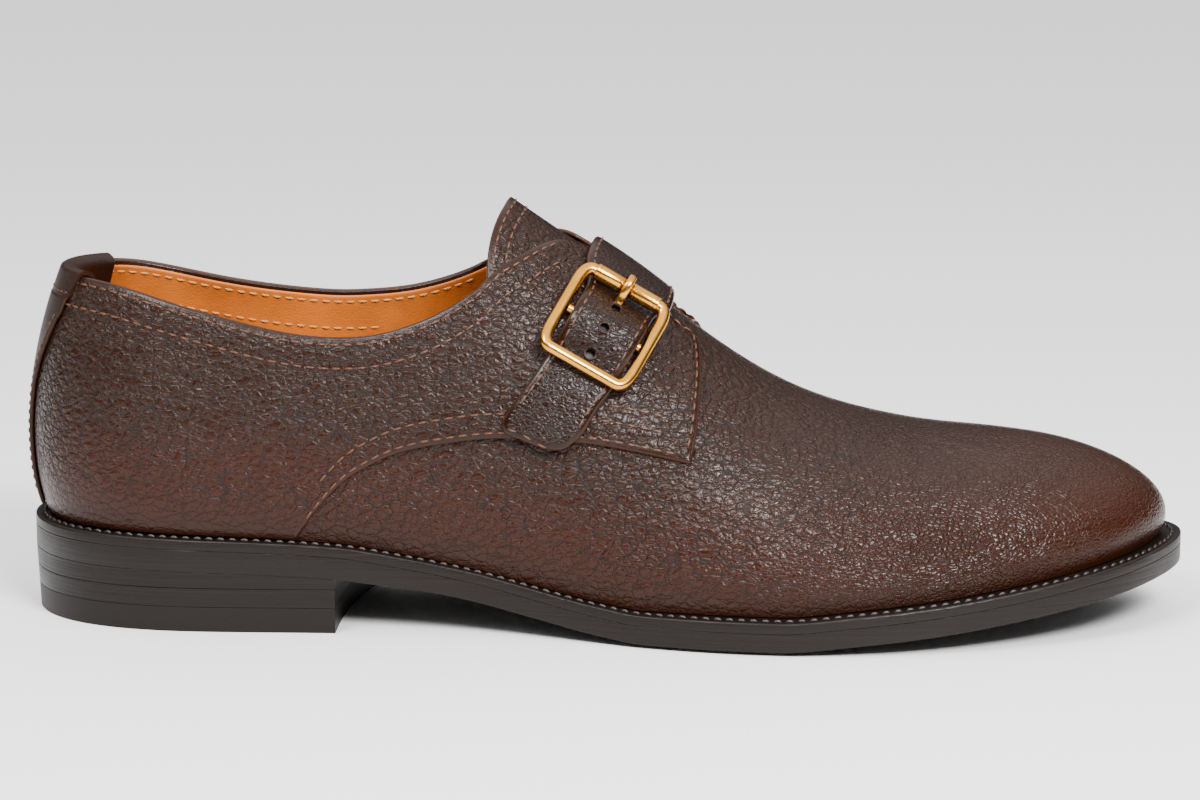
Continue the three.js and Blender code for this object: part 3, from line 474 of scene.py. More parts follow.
def weighted(tree, *heights):
    """The sum of some heights, each times its weight."""
    total = 0.0
    for height, weight in heights:
        total = add_node(tree, "Math", (height, weight, total), operation="MULTIPLY_ADD")
    return total


def layered(tree, tone, *layers):
    """A colour with others laid over it in turn, each as strongly as its share."""
    for share, colour in layers:
        tone = add_node(tree, "Mix", {0: share, 6: tone, 7: colour}, out=2, data_type="RGBA")
    return tone


def dressed(material, inputs, height, strength, depth):
    """Sets the shader's inputs and raises its surface by a height with a depth in millimetres."""
    made, tree, shader = material
    bump = add_node(tree, "Bump", {"Height": height, "Strength": strength, "Distance": depth / 1000})
    fill(tree, shader, {**inputs, "Normal": bump})
    return made


SOFT = "SMOOTHSTEP"
# The hide is drawn out along the shoe when it is pulled over the last
HIDE_PULL = (0.8, 0.95, 1.1)
# Waxed and dyed leather drinks more light than bare plastic of the same index
SHEEN_LEVEL = 0.21
LEATHER_INDEX = 1.5
RUBBER_INDEX = 1.52
# The torn fibre at a raw edge, lighter than the dyed grain; this lighter rim also serves as a painted
# highlight along the rolled edge
CUT_EDGE_AND_HIGHLIGHT = "4a2f22"
# Widths of the hide's patterns in millimetres: the waves that bend the creases, the wrinkles on a
# pebble, and the slow change of tone over the calf and over the kip
CREASE_WAVE = 3.03
KIP_WAVE = 16.67
WRINKLE = 1.613
CALF_PATCH = 26.3
KIP_PATCH = 22.2
# Real pores are under 0.2 mm, too fine to show, so they are drawn as wide as this
CALF_PORE = 0.625
KIP_PORE = 0.667
# Sole leather: its ironed lines are long and less than a millimetre apart, and its scuffs broad
IRONED_LENGTH = 71.43
IRONED_WIDTH = 0.909
SCUFF = 18.18
# Rubber's mould texture and cast brass's scratches, both drawn coarser than real ones
MOULD_GRIT = 0.5556
RUBBER_PATCH = 16.67
SCRATCH = 0.4
BRASS_PATCH = 6.25
THREAD_PITCH = 0.898


def warped(tree, width, amount):
    """Object coordinates pushed about by a soft noise, so that no pattern runs straight. The
    noise's width and the amount are in millimetres."""
    flat = add_node(tree, "TexCoord", out="Object")
    place = add_node(tree, "Mapping", {"Vector": flat, "Scale": HIDE_PULL})
    waves = {"Vector": place, "Scale": repeats(width), "Detail": 2.0}
    noise = add_node(tree, "TexNoise", waves, out="Color")
    centred = add_node(tree, "VectorMath", (noise, (0.5, 0.5, 0.5)), operation="SUBTRACT")
    moved = add_node(tree, "VectorMath", {0: centred, "Scale": amount / 1000}, operation="SCALE")
    return add_node(tree, "VectorMath", (place, moved), operation="ADD")


def pebbles(tree, place, width):
    """How far up its rounded pebble a point lies, from the crease to the middle."""
    cells = {"Vector": place, "Scale": repeats(width)}
    edge = add_node(tree, "TexVoronoi", cells, feature="DISTANCE_TO_EDGE")
    middle = add_node(tree, "TexVoronoi", cells, feature="F1")
    fall = add_node(tree, "Math", (middle, 2.0), operation="POWER")
    dome = add_node(tree, "Math", (1.0, fall), operation="SUBTRACT", use_clamp=True)
    near = add_node(tree, "Math", (edge, 2.6), operation="MULTIPLY", use_clamp=True)
    flank = add_node(tree, "Math", (near, 0.5), operation="POWER")
    return weighted(tree, (dome, 0.35), (flank, 0.65))


def pebbled_calf(name, colour, burnish, pebble, depth, gloss):
    """Milled calf, drum tumbled and aniline dyed: raised pebbles about 2 mm across between creases
    darkened with painted shade, a waxy sheen on their tops, and a browner burnish low on the upper.
    Its rolled edges are lighter, partly from torn fibre and partly as a painted highlight."""
    material = new_material(name)
    tree = material[1]
    place = warped(tree, CREASE_WAVE, 2.6)
    grain, tight, waxed, rim = (add_node(tree, "Attribute", out="Fac", attribute_name=key)
                                for key in ("grain", "small", "burnish", "rim"))
    large = pebbles(tree, place, pebble)
    small = pebbles(tree, place, pebble * 0.55)
    domes = add_node(tree, "Mix", {0: tight, 2: large, 3: small}, data_type="FLOAT")
    wrinkles = add_node(tree, "TexNoise", {"Vector": place, "Scale": repeats(WRINKLE), "Detail": 3.0,
                                           "Roughness": 0.65, "Distortion": 0.8})
    broad = add_node(tree, "TexNoise", {"Vector": place, "Scale": repeats(CALF_PATCH), "Detail": 3.0,
                                        "Roughness": 0.6})
    pores = add_node(tree, "TexNoise", {"Vector": place, "Scale": repeats(CALF_PORE), "Detail": 3.0})
    milled = add_node(tree, "MapRange", (broad, 0.3, 0.6, 0.55, 1.0), interpolation_type=SOFT)
    strength = add_node(tree, "Math", (milled, grain), operation="MULTIPLY")
    raised = weighted(tree, (domes, 0.62), (small, 0.2), (wrinkles, 0.36))
    creases = add_node(tree, "MapRange", (domes, 0.25, 0.7, 1.0, 0.0), interpolation_type=SOFT)
    sunk = add_node(tree, "Math", (creases, strength), operation="MULTIPLY")
    faded = add_node(tree, "MapRange", (broad, 0.35, 0.7, 0.0, 0.3), interpolation_type=SOFT)
    # Painted shade: the creases between the pebbles are darkened in the colour itself
    painted_crease_shade = add_node(tree, "Math", (sunk, 0.75), operation="MULTIPLY")
    # Lighter along the rolled edges: partly torn fibre, partly a painted highlight
    raw_edge_and_highlight = add_node(tree, "Math", (rim, 0.55), operation="MULTIPLY")
    shine = add_node(tree, "MapRange", (sunk, 0.0, 0.8, gloss, gloss + 0.25), interpolation_type=SOFT)
    inputs = {
        "Base Color": layered(tree, colour, (waxed, burnish), (faded, scaled(colour, 1.5)),
                              (painted_crease_shade, scaled(colour, 0.25)), (raw_edge_and_highlight, linear(CUT_EDGE_AND_HIGHLIGHT))),
        "Roughness": shine,
        "IOR": LEATHER_INDEX,
        "Specular IOR Level": SHEEN_LEVEL,
    }
    return dressed(material, inputs, weighted(tree, (raised, strength), (pores, 0.1)), 1.0, depth)


def plain_calf(name, colour, gloss, pore, depth):
    """Smooth dyed calf or kip: fine pores under a low sheen, with a slow change of tone."""
    material = new_material(name)
    tree = material[1]
    place = warped(tree, KIP_WAVE, 2.0)
    broad = add_node(tree, "TexNoise", {"Vector": place, "Scale": repeats(KIP_PATCH), "Detail": 3.0})
    cells = {"Vector": place, "Scale": repeats(pore)}
    pores = add_node(tree, "TexVoronoi", cells, feature="DISTANCE_TO_EDGE")
    fine = add_node(tree, "TexNoise", {"Vector": place, "Scale": repeats(KIP_PORE), "Detail": 3.0})
    change = add_node(tree, "MapRange", (broad, 0.3, 0.7, 0.0, 1.0), interpolation_type=SOFT)
    rim = add_node(tree, "Attribute", out="Fac", attribute_name="rim")
    # Lighter along the rolled edges: partly torn fibre, partly a painted highlight
    raw_edge_and_highlight = add_node(tree, "Math", (rim, 0.5), operation="MULTIPLY")
    pits = add_node(tree, "MapRange", (pores, 0.0, 0.15, 0.0, 1.0), interpolation_type=SOFT)
    shine = add_node(tree, "MapRange", (broad, 0.3, 0.7, gloss + 0.08, gloss), interpolation_type=SOFT)
    inputs = {
        "Base Color": layered(tree, scaled(colour, 0.72), (change, scaled(colour, 1.25)),
                              (raw_edge_and_highlight, scaled(colour, 1.9))),
        "Roughness": shine,
        "IOR": LEATHER_INDEX,
        "Specular IOR Level": SHEEN_LEVEL,
    }
    return dressed(material, inputs, weighted(tree, (pits, 1.0), (fine, 0.6)), 0.5, depth)


def inked_sole_edge(name, colour, gloss):
    """Sole leather with its edge inked, ironed and waxed: fine lines run along it and a few
    scuffs show a warmer brown through the ink."""
    material = new_material(name)
    tree = material[1]
    place = add_node(tree, "TexCoord", out="Object")
    ironed = (repeats(IRONED_LENGTH), repeats(IRONED_LENGTH), repeats(IRONED_WIDTH))
    drawn = add_node(tree, "Mapping", {"Vector": place, "Scale": ironed})
    lines = add_node(tree, "TexNoise", {"Vector": drawn, "Scale": 1.0, "Detail": 4.0, "Roughness": 0.65})
    soft = add_node(tree, "TexNoise", {"Vector": place, "Scale": repeats(SCUFF), "Detail": 4.0})
    scuffed = add_node(tree, "MapRange", (lines, 0.5, 0.85, 0.0, 0.8), interpolation_type=SOFT)
    shine = add_node(tree, "MapRange", (soft, 0.3, 0.7, gloss, gloss + 0.16), interpolation_type=SOFT)
    inputs = {
        "Base Color": layered(tree, colour, (scuffed, scaled(colour, 1.9))),
        "Roughness": shine,
        "IOR": LEATHER_INDEX,
        "Specular IOR Level": SHEEN_LEVEL,
    }
    return dressed(material, inputs, weighted(tree, (lines, 1.0), (soft, 0.8)), 0.5, 0.4)


def moulded_rubber(name, colour):
    """Moulded heel rubber: matt, faintly mottled, with a fine mould texture."""
    material = new_material(name)
    tree = material[1]
    place = add_node(tree, "TexCoord", out="Object")
    fine = add_node(tree, "TexNoise", {"Vector": place, "Scale": repeats(MOULD_GRIT), "Detail": 2.0})
    broad = add_node(tree, "TexNoise", {"Vector": place, "Scale": repeats(RUBBER_PATCH), "Detail": 3.0})
    inputs = {
        "Base Color": layered(tree, colour, (broad, scaled(colour, 1.6))),
        "Roughness": 0.5,
        "IOR": RUBBER_INDEX,
        "Specular IOR Level": SHEEN_LEVEL,
    }
    return dressed(material, inputs, fine, 0.3, 0.2)


def polished_brass(name, colour):
    """Cast brass, tumbled and lacquered: warm, bright and slightly softened by fine scratches."""
    material = new_material(name)
    tree = material[1]
    place = add_node(tree, "TexCoord", out="Object")
    broad = add_node(tree, "TexNoise", {"Vector": place, "Scale": repeats(BRASS_PATCH), "Detail": 3.0})
    fine = add_node(tree, "TexNoise", {"Vector": place, "Scale": repeats(SCRATCH), "Detail": 2.0})
    change = add_node(tree, "MapRange", (broad, 0.3, 0.7, 0.0, 1.0), interpolation_type=SOFT)
    inputs = {
        "Base Color": layered(tree, scaled(colour, 0.82), (change, colour)),
        "Roughness": add_node(tree, "MapRange", (fine, 0.3, 0.7, 0.16, 0.26), interpolation_type=SOFT),
        "Metallic": 1.0,
    }
    return dressed(material, inputs, fine, 0.08, 0.1)


# A diagonal wave repeats this many times over one unit of its scale
WAVE_REPEATS = 10 / (2 * math.pi)


def waxed_thread(name, colour):
    """Waxed linen thread, three strands laid up: the twist shows as a slanting ripple, with painted
    shade in the grooves between the strands. Its pitch is drawn as 0.9 mm, coarser than the real
    one, because that would not show."""
    material = new_material(name)
    tree = material[1]
    place = add_node(tree, "TexCoord", out="Object")
    laid = {"Vector": place, "Scale": repeats(THREAD_PITCH) / WAVE_REPEATS, "Distortion": 1.0}
    twist = add_node(tree, "TexWave", laid, out="Fac", bands_direction="DIAGONAL")
    strand = add_node(tree, "MapRange", (twist, 0.1, 0.7, 0.0, 1.0), interpolation_type=SOFT)
    inputs = {
        # Painted shade: the grooves between the strands are darker in the colour
        "Base Color": layered(tree, scaled(colour, 0.45), (strand, colour)),
        "Roughness": 0.5,
    }
    return dressed(material, inputs, twist, 0.4, 0.1)


MATERIALS = {}


def finish_of(name):
    """The material of a finish, made once from the settings in the panel."""
    if name not in MATERIALS:
        pebble = in_millimetres(bpy.context.scene.shoe_sizes.pebble)
        colours = bpy.context.scene.shoe_colours
        keys = ("upper", "burnish", "lining", "sole", "brass", "thread")
        upper, burnish, lining, sole, brass, thread = (tuple(getattr(colours, key)) + (1.0,) for key in keys)
        makers = {
            "pebbled_calf": (pebbled_calf, upper, burnish, pebble, 0.62, 0.24),
            "strap_calf": (pebbled_calf, scaled(upper, 0.72), burnish, pebble * 0.6, 0.3, 0.2),
            "band_calf": (plain_calf, upper, 0.38, 0.8, 0.1),
            "kip_lining": (plain_calf, lining, 0.5, 0.9, 0.08),
            "sole_edge": (inked_sole_edge, sole, 0.3),
            "heel_rubber": (moulded_rubber, scaled(sole, 0.7)),
            "brass": (polished_brass, brass),
            "upper_thread": (waxed_thread, thread),
            "lining_thread": (waxed_thread, linear("cf8f50")),
            "welt_thread": (waxed_thread, linear("1e130d")),
        }
        make, *settings = makers[name]
        MATERIALS[name] = make(name, *settings)
    return MATERIALS[name]


# Faces that meet at more than this many degrees keep a sharp edge between them
SHARP_ANGLE = 38
# Points of a sheet's rolled edge that lie nearer than this many millimetres become one
WELD = 0.004


def make_piece(name, points, faces, finish, values=None, nodes=(), weld=0.0):
    """A piece of the shoe from points in millimetres, riding on the frame."""
    mesh = bpy.data.meshes.new(name)
    mesh.from_pydata(in_metres(points).tolist(), [], [tuple(face) for face in faces])
    for key, value in (values or {}).items():
        layer = mesh.attributes.new(key, "FLOAT", "POINT")
        layer.data.foreach_set("value", np.asarray(value, float).ravel())
    body = bmesh.new()
    body.from_mesh(mesh)
    if weld:
        bmesh.ops.remove_doubles(body, verts=body.verts, dist=weld / 1000)
    bmesh.ops.recalc_face_normals(body, faces=body.faces)
    body.to_mesh(mesh)
    body.free()
    mesh.shade_smooth()
    mesh.set_sharp_from_angle(angle=math.radians(SHARP_ANGLE))
    made = bpy.data.objects.new(name, mesh)
    bpy.context.scene.collection.objects.link(made)
    mesh.materials.append(finish_of(finish))
    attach(made, "root")
    if nodes:
        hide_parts(*nodes)
    return made


def grid_faces(rows, columns, start=0, flip=False):
    """Four sided faces of a grid of points."""
    i, j = np.meshgrid(np.arange(rows - 1), np.arange(columns - 1), indexing="ij")
    a = start + i * columns + j
    quads = np.stack([a, a + columns, a + columns + 1, a + 1], -1).reshape(-1, 4)
    return quads[:, ::-1] if flip else quads


def rim_loop(rows, columns):
    """Indices round the border of a grid."""
    index = np.arange(rows * columns).reshape(rows, columns)
    return np.concatenate([index[0], index[1:, -1], index[-1, -2::-1], index[-2:0:-1, 0]])


def edge_distance(points, edges):
    """Distance in millimetres from each point to the nearest of some lines of points."""
    flat = points.reshape(-1, 3)
    nearest = np.full(len(flat), 1e9)
    for line in edges:
        start, span = line[:-1], np.diff(line, axis=0)
        size = np.maximum((span ** 2).sum(1), 1e-9)
        for part in range(0, len(flat), 4000):
            away = flat[part:part + 4000, None] - start[None]
            share = np.clip((away * span).sum(2) / size, 0, 1)
            gap = np.linalg.norm(away - share[..., None] * span, axis=2).min(1)
            nearest[part:part + 4000] = np.minimum(nearest[part:part + 4000], gap)
    return nearest.reshape(points.shape[:-1])


SIDES = {"start": np.s_[0, :], "end": np.s_[-1, :], "rear": np.s_[:, 0], "front": np.s_[:, -1]}


def make_sheet(name, way, pairs, low, high, finish, sides=("start", "end", "rear", "front"),
               rounding=None, swell=None, grain=None, burnish=None, nodes=(), shown=None):
    """A leather sheet between two offsets from the last, with its edges rolled over."""
    low = np.broadcast_to(low, pairs.shape[:-1])
    high = np.broadcast_to(high, pairs.shape[:-1])
    middle = placed(way, pairs, (low + high) / 2)
    away = edge_distance(middle, [middle[SIDES[side] if isinstance(side, str) else side]
                                  for side in sides]) if sides else np.full(middle.shape[:-1], 9.0)
    reach = rounding or float(np.max(high - low)) / 2
    full = np.sqrt(np.maximum(0, 1 - (1 - np.clip(away / reach, 0, 1)) ** 2))
    rise = 0 if swell is None else swell(pairs, away) * full
    half = (high - low) / 2 * full
    outer = placed(way, pairs, (low + high) / 2 + half + rise)
    inner = placed(way, pairs, (low + high) / 2 - half)
    rows, columns = pairs.shape[:2]
    loop = rim_loop(rows, columns)
    after = np.roll(loop, -1)
    count = rows * columns
    walls = np.stack([loop, after, after + count, loop + count], 1)
    kept = np.ones((rows - 1) * (columns - 1), bool) if shown is None else shown.ravel()
    skins = grid_faces(rows, columns)[kept], grid_faces(rows, columns, count, True)[kept]
    faces = np.concatenate([*skins, walls])
    points = np.concatenate([outer.reshape(-1, 3), inner.reshape(-1, 3)])
    looks = {
        # The rim value lightens the edges in the materials: partly torn fibre, partly a painted highlight
        "rim": 1 - smooth(0.0, 0.6 * reach, away),
        "grain": smooth(0.6, 2.0, away) * (grain(outer) if grain else 1),
        "burnish": burnish(outer) if burnish else np.zeros(away.shape),
        "small": grain_size(outer),
    }
    values = {key: np.concatenate([look.ravel()] * 2) for key, look in looks.items()}
    return make_piece(name, points, faces, finish, values, nodes, WELD)


def fine_shares(count, start=False, end=False):
    """Shares from 0 to 1 that lie closer together at the ends where an edge is rolled."""
    close = np.array([0, 0.0022, 0.0055, 0.01, 0.016, 0.025, 0.038, 0.055, 0.075, 0.1])
    parts = [close if start else np.array([0.0])]
    low, high = (close[-1] if start else 0.0), (1 - close[-1] if end else 1.0)
    parts.append(np.linspace(low, high, count)[1:-1])
    parts.append(1 - close[::-1] if end else np.array([1.0]))
    return np.concatenate(parts)


# Lines on the last
LEVELS = np.linspace(0, 1, 401)


def collar_height(x, side):
    """Height of the collar's edge beside the foot."""
    column = 1 if side < 0 else 2
    share = Curve(COLLAR_ROWS[:, 0] * SOLE_LENGTH, COLLAR_ROWS[:, column]).at(x)
    return foot_height(x) + share * mix(COLLAR_RISE, INSTEP_RISE, (x / THROAT_BACK) ** 2)


def rib_points(positions):
    """Points at every level of the ribs that start at these positions, on the quarters' outside."""
    offsets = np.full((len(positions), len(LEVELS)), QUARTER_STEP)
    return formed(np.asarray(positions)[:, None], LEVELS[None], offsets)


def first_level(positions, test):
    """The lowest level on each rib where a test of its points turns positive."""
    value = test(rib_points(positions))
    beyond = value > 0
    index = np.where(beyond.any(1), beyond.argmax(1), len(LEVELS) - 1)
    index = np.maximum(index, 1)
    rows = np.arange(len(positions))
    before, after = value[rows, index - 1], value[rows, index]
    share = np.clip(-before / np.where(after == before, 1, after - before), 0, 1)
    return np.where(beyond.any(1), mix(LEVELS[index - 1], LEVELS[index], share), 1.0)


def throat_level(xs, side):
    """Level on each rib at which the throat's edge runs."""
    half = Curve(THROAT_ROWS[:, 0] * SOLE_LENGTH, THROAT_ROWS[:, 1] * HALF_WIDTH)
    share = 1 if side < 0 else THROAT_INNER
    return first_level(position_at(xs, side), lambda p: half.at(p[..., 0]) * share
                       - np.abs(p[..., 1] - RIDGE_SIDE.at(p[..., 0])))


def top_level(xs, positions, side):
    """Level of the topline: the collar, then the throat, then the ridge."""
    collar = first_level(positions, lambda p: p[..., 2] - collar_height(p[..., 0], side))
    throat = throat_level(np.clip(xs, THROAT_BACK, THROAT_FRONT), side)
    share = smooth(THROAT_BACK - 3, THROAT_BACK + 3, xs)
    level = mix(collar, throat, share)
    return np.where(xs > THROAT_FRONT, 1.0, level)


def spline(rows, steps):
    """Points on an even spline through rows, as drawn in the side view."""
    padded = np.concatenate([rows[:1], rows, rows[-1:]])
    t = np.linspace(0, len(rows) - 1, steps)
    i = np.minimum(t.astype(int), len(rows) - 2)
    s = (t - i)[:, None]
    p0, p1, p2, p3 = (padded[i + k] for k in range(4))
    v0, v1 = (p2 - p0) / 2, (p3 - p1) / 2
    return ((2 * p1 - 2 * p2 + v0 + v1) * s ** 3 + (-3 * p1 + 3 * p2 - 2 * v0 - v1) * s ** 2 + v0 * s + p1)


def travelled(line):
    """How far along a line each of its points lies."""
    return np.concatenate([[0], np.cumsum(np.linalg.norm(np.diff(line, axis=0), axis=1))])


def side_line(rows, steps):
    """A line of the side view as x and height."""
    x = rows[:, 0] * SOLE_LENGTH
    return spline(np.stack([x, foot_height(x) + rows[:, 1] * INSTEP_RISE], 1), steps)


def level_at_height(positions, heights):
    """Level on each rib that stands at a height."""
    return np.array([np.interp(z, row, LEVELS) for z, row in zip(heights, rib_points(positions)[..., 2])])


def quarter_pairs(side):
    """The quarter's pattern as positions and levels: rows run up it and columns along it."""
    start_x = QUARTER_LOWER[0, 0] * SOLE_LENGTH
    back = 0.0 if side < 0 else FOOT_PERIOD
    heel_positions = np.linspace(back, float(position_at(start_x, side)), 90)[:-1]
    heel_xs = FOOT_X.at(heel_positions)
    front_line = side_line(QUARTER_FRONT, 200)
    ridge = RIDGE_HEIGHT.at(front_line[:, 0]) + QUARTER_STEP
    reached = int(np.argmax(front_line[:, 1] > ridge - 0.05))
    front_line = front_line[:reached + 1]
    lower = side_line(QUARTER_LOWER, 300)
    shares = fine_shares(100, end=True)
    lower_xs = mix(start_x, lower[-1, 0], shares)
    lower_positions = position_at(lower_xs, side)
    lower_levels = level_at_height(lower_positions, np.interp(lower_xs, lower[:, 0], lower[:, 1]))
    top_xs = mix(start_x, front_line[-1, 0], shares)
    bottom = np.concatenate([
        np.stack([heel_positions, np.zeros(len(heel_positions))], 1),
        np.stack([lower_positions, lower_levels], 1)])
    top_positions = np.concatenate([heel_positions, position_at(top_xs, side)])
    top = np.stack([top_positions, top_level(np.concatenate([heel_xs, top_xs]), top_positions, side)], 1)
    ups = fine_shares(34, start=True, end=True)
    travel = travelled(front_line)
    travel /= travel[-1]
    front_x = np.interp(ups, travel, front_line[:, 0])
    front_z = np.interp(ups, travel, front_line[:, 1])
    front_positions = position_at(front_x, side)
    front = np.stack([front_positions, level_at_height(front_positions, front_z)], 1)
    front[0], front[-1] = bottom[-1], top[-1]
    rear = np.stack([np.full(len(ups), back), mix(bottom[0, 1], top[0, 1], ups)], 1)
    columns = bottom.shape[0]
    along = np.concatenate([np.zeros(len(heel_positions)), shares ** 3])
    u, v = along[None, :, None], ups[:, None, None]
    straight = mix(bottom[None], top[None], v)
    corner = mix(mix(bottom[0], bottom[-1], u), mix(top[0], top[-1], u), v)
    sides = mix(rear[:, None], front[:, None], u)
    bent = straight + (sides - corner) * (u > 0)
    return bent.reshape(len(ups), columns, 2)


def inset(way, pairs, side, distance, offset=QUARTER_STEP):
    """A line of pairs at a distance in millimetres inside one side of a grid."""
    if side in ("rear", "front"):
        pairs = pairs.transpose(1, 0, 2)
    if side in ("end", "front"):
        pairs = pairs[::-1]
    points = placed(way, pairs, offset)
    travel = np.concatenate([np.zeros((1, pairs.shape[1])),
                             np.cumsum(np.linalg.norm(np.diff(points, axis=0), axis=2), axis=0)])
    return np.array([[np.interp(distance, travel[:, k], pairs[:, k, axis]) for axis in (0, 1)]
                     for k in range(pairs.shape[1])])


# Rings of one stitch: along in half stitches, size and lift in thread radii
STITCH_RINGS = np.array([(-0.82, 0.62, -0.2), (-0.35, 1.0, 0.25), (0.35, 1.0, 0.25), (0.82, 0.62, -0.2)])
STITCH_SIDES = 6


def along_line(travel, line, distance):
    return np.array([np.interp(distance, travel, line[:, axis]) for axis in range(3)])


def stitch_shapes(lines, normals, length, space, radius):
    """Short rounded threads along lines of points, each dipping in at both ends."""
    angles = np.arange(STITCH_SIDES) * 2 * np.pi / STITCH_SIDES
    points, faces = [], []
    for line, normal in zip(lines, normals):
        travel = travelled(line)
        count = int(travel[-1] // (length + space))
        for k in range(count):
            begin = (k + 0.5) * travel[-1] / count - length / 2
            ends = [along_line(travel, line, distance) for distance in (begin, begin + length)]
            out = unit(along_line(travel, normal, begin + length / 2))
            along = unit(ends[1] - ends[0])
            side = np.cross(out, along)
            centre = (ends[0] + ends[1]) / 2
            first = len(points)
            points.append(centre - along * length / 2 - out * radius * 0.7)
            for place, size, lift in STITCH_RINGS:
                middle = centre + along * place * length / 2 + out * lift * radius
                for angle in angles:
                    points.append(middle + radius * size * (math.cos(angle) * side + math.sin(angle) * out))
            points.append(centre + along * length / 2 - out * radius * 0.7)
            last = len(points) - 1
            for j in range(STITCH_SIDES):
                n = (j + 1) % STITCH_SIDES
                faces.append((first, first + 1 + n, first + 1 + j))
                for ring in range(len(STITCH_RINGS) - 1):
                    a = first + 1 + ring * STITCH_SIDES
                    faces.append((a + j, a + n, a + n + STITCH_SIDES, a + j + STITCH_SIDES))
                a = first + 1 + (len(STITCH_RINGS) - 1) * STITCH_SIDES
                faces.append((a + j, a + n, last))
    return points, faces


def common_stitch():
    """Length, space and thread radius of the upper's stitches in millimetres."""
    sizes = bpy.context.scene.shoe_sizes
    return [in_millimetres(size) for size in (sizes.stitch_length, sizes.stitch_space, sizes.thread_radius)]


# The same three sizes for the finer seam of the heel's trim and for the welt's heavier one
TRIM_STITCH = (1.6, 0.8, 0.2)
WELT_STITCH = (2.3, 0.7, 0.42)


def sew(name, way, lines, offset, finish, stitch=None):
    """Rows of stitches on a surface along lines of pairs."""
    points, faces = stitch_shapes([placed(way, line, offset) for line in lines],
                                  [facing(way, line) for line in lines], *(stitch or common_stitch()))
    make_piece(name, np.array(points), faces, finish)


# Rings round the shoe, each with the pole on the ridge that its rib runs to
STRAIGHT_STATIONS = 120
HEEL_STATIONS = 44
TOE_STATIONS = 56


def make_ring():
    xs = np.linspace(HEEL_POLE, TOE_POLE, STRAIGHT_STATIONS)
    outer, inner = position_at(xs, -1), position_at(xs, 1)[::-1]
    toe = np.linspace(outer[-1], inner[0], TOE_STATIONS + 2)[1:-1]
    heel = np.linspace(inner[-1], FOOT_PERIOD + outer[0], HEEL_STATIONS + 2)[1:-1]
    poles = np.concatenate([np.arange(STRAIGHT_STATIONS), np.full(TOE_STATIONS, STRAIGHT_STATIONS - 1),
                            np.arange(STRAIGHT_STATIONS)[::-1], np.zeros(HEEL_STATIONS, int)])
    return xs, np.concatenate([outer, toe, inner, heel]), poles.astype(int)


POLE_XS, RING, POLES = make_ring()


def plan_ring(move, height):
    """One ring in plan, moved outwards from the foot curve and set on a height."""
    away = outward(RING) * np.broadcast_to(move, RING.shape)[:, None]
    x, y = FOOT_X.at(RING) + away[:, 0], FOOT_Y.at(RING) + away[:, 1]
    return np.stack([x, y, height(x) if callable(height) else height], 1)


def plan_spine(height):
    """Points under the ridge, at which a closed form's faces meet."""
    return np.stack([POLE_XS, RIDGE_SIDE.at(POLE_XS), height(POLE_XS)], 1)


def ring_faces(rings, closed):
    """Faces between rings, and from the last to the first where they close."""
    count = len(RING)
    k = np.arange(count)
    after = np.roll(k, -1)
    faces = []
    for i in range(rings if closed else rings - 1):
        above = (i + 1) % rings
        low, high = i * count, above * count
        faces.append(np.stack([low + k, low + after, high + after, high + k], 1))
    return np.concatenate(faces)


def closed_form(rings, bottom, top):
    """Points and faces of a solid from rings, closed below and above along the ridge."""
    count = len(RING)
    start = len(bottom)
    last = start + len(rings) * count
    points = np.concatenate([bottom, *rings, top])
    faces = [tuple(face) for face in ring_faces(len(rings), False) + start]
    for k in range(count):
        after = (k + 1) % count
        for spine, ring, flip in ((0, start, True), (last, last - count, False)):
            face = [ring + k, ring + after, spine + POLES[after], spine + POLES[k]]
            face = list(dict.fromkeys(face))
            faces.append(tuple(face[::-1] if flip else face))
    return points, faces


def rounded_section(inner, low, high, low_radius, high_radius, steps=4):
    """Corners of a flat ring's outer edge, rolled over: pairs of move and height."""
    section = []
    corners = (low_radius, low + low_radius, -90), (high_radius, high - high_radius, 0)
    for radius, centre, start in corners:
        for angle in np.linspace(start, start + 90, steps + 1):
            section.append((radius * (math.cos(math.radians(angle)) - 1),
                            centre + radius * math.sin(math.radians(angle))))
    return [(inner, low)] + section + [(inner, high)]


# Looks that change over the upper
def upper_grain(points):
    """How strongly the pebbles stand: less on the toe and low on the heel, where it is polished."""
    along = points[..., 0] / SOLE_LENGTH
    height = points[..., 2] - foot_height(points[..., 0])
    toe = smooth(0.97, 0.72, along) * 0.6 + 0.4
    low = smooth(1.0, 14.0, height) * 0.55 + 0.45
    crest = 1 - 0.45 * smooth(0.7, 0.86, along) * smooth(20, 34, height)
    return np.clip(toe * low * crest, 0, 1)


def grain_size(points):
    """Share of the small tight pebbles: none on the flanks and all of them at the toe."""
    return smooth(0.6, 0.84, points[..., 0] / SOLE_LENGTH)


def upper_burnish(points):
    """Reddish wax burnish low on the heel and the waist, and over the toe."""
    along = points[..., 0] / SOLE_LENGTH
    height = points[..., 2] - foot_height(points[..., 0])
    # The burnish thins to about a third within 10 mm of the welt, so the upper is darker just above it
    low = smooth(36.0, 16.0, height) * mix(0.35, 1.0, smooth(1.0, 10.0, height)) * 0.85
    toe = smooth(0.75, 0.98, along) * 0.2
    return np.clip(low * (1 - 0.45 * smooth(0.62, 0.85, along)) + toe, 0, 1)


# Where the vamp ends under the quarters, and how far it reaches up under them
VAMP_BACK = 0.232 * SOLE_LENGTH
VAMP_COVER = 7.0


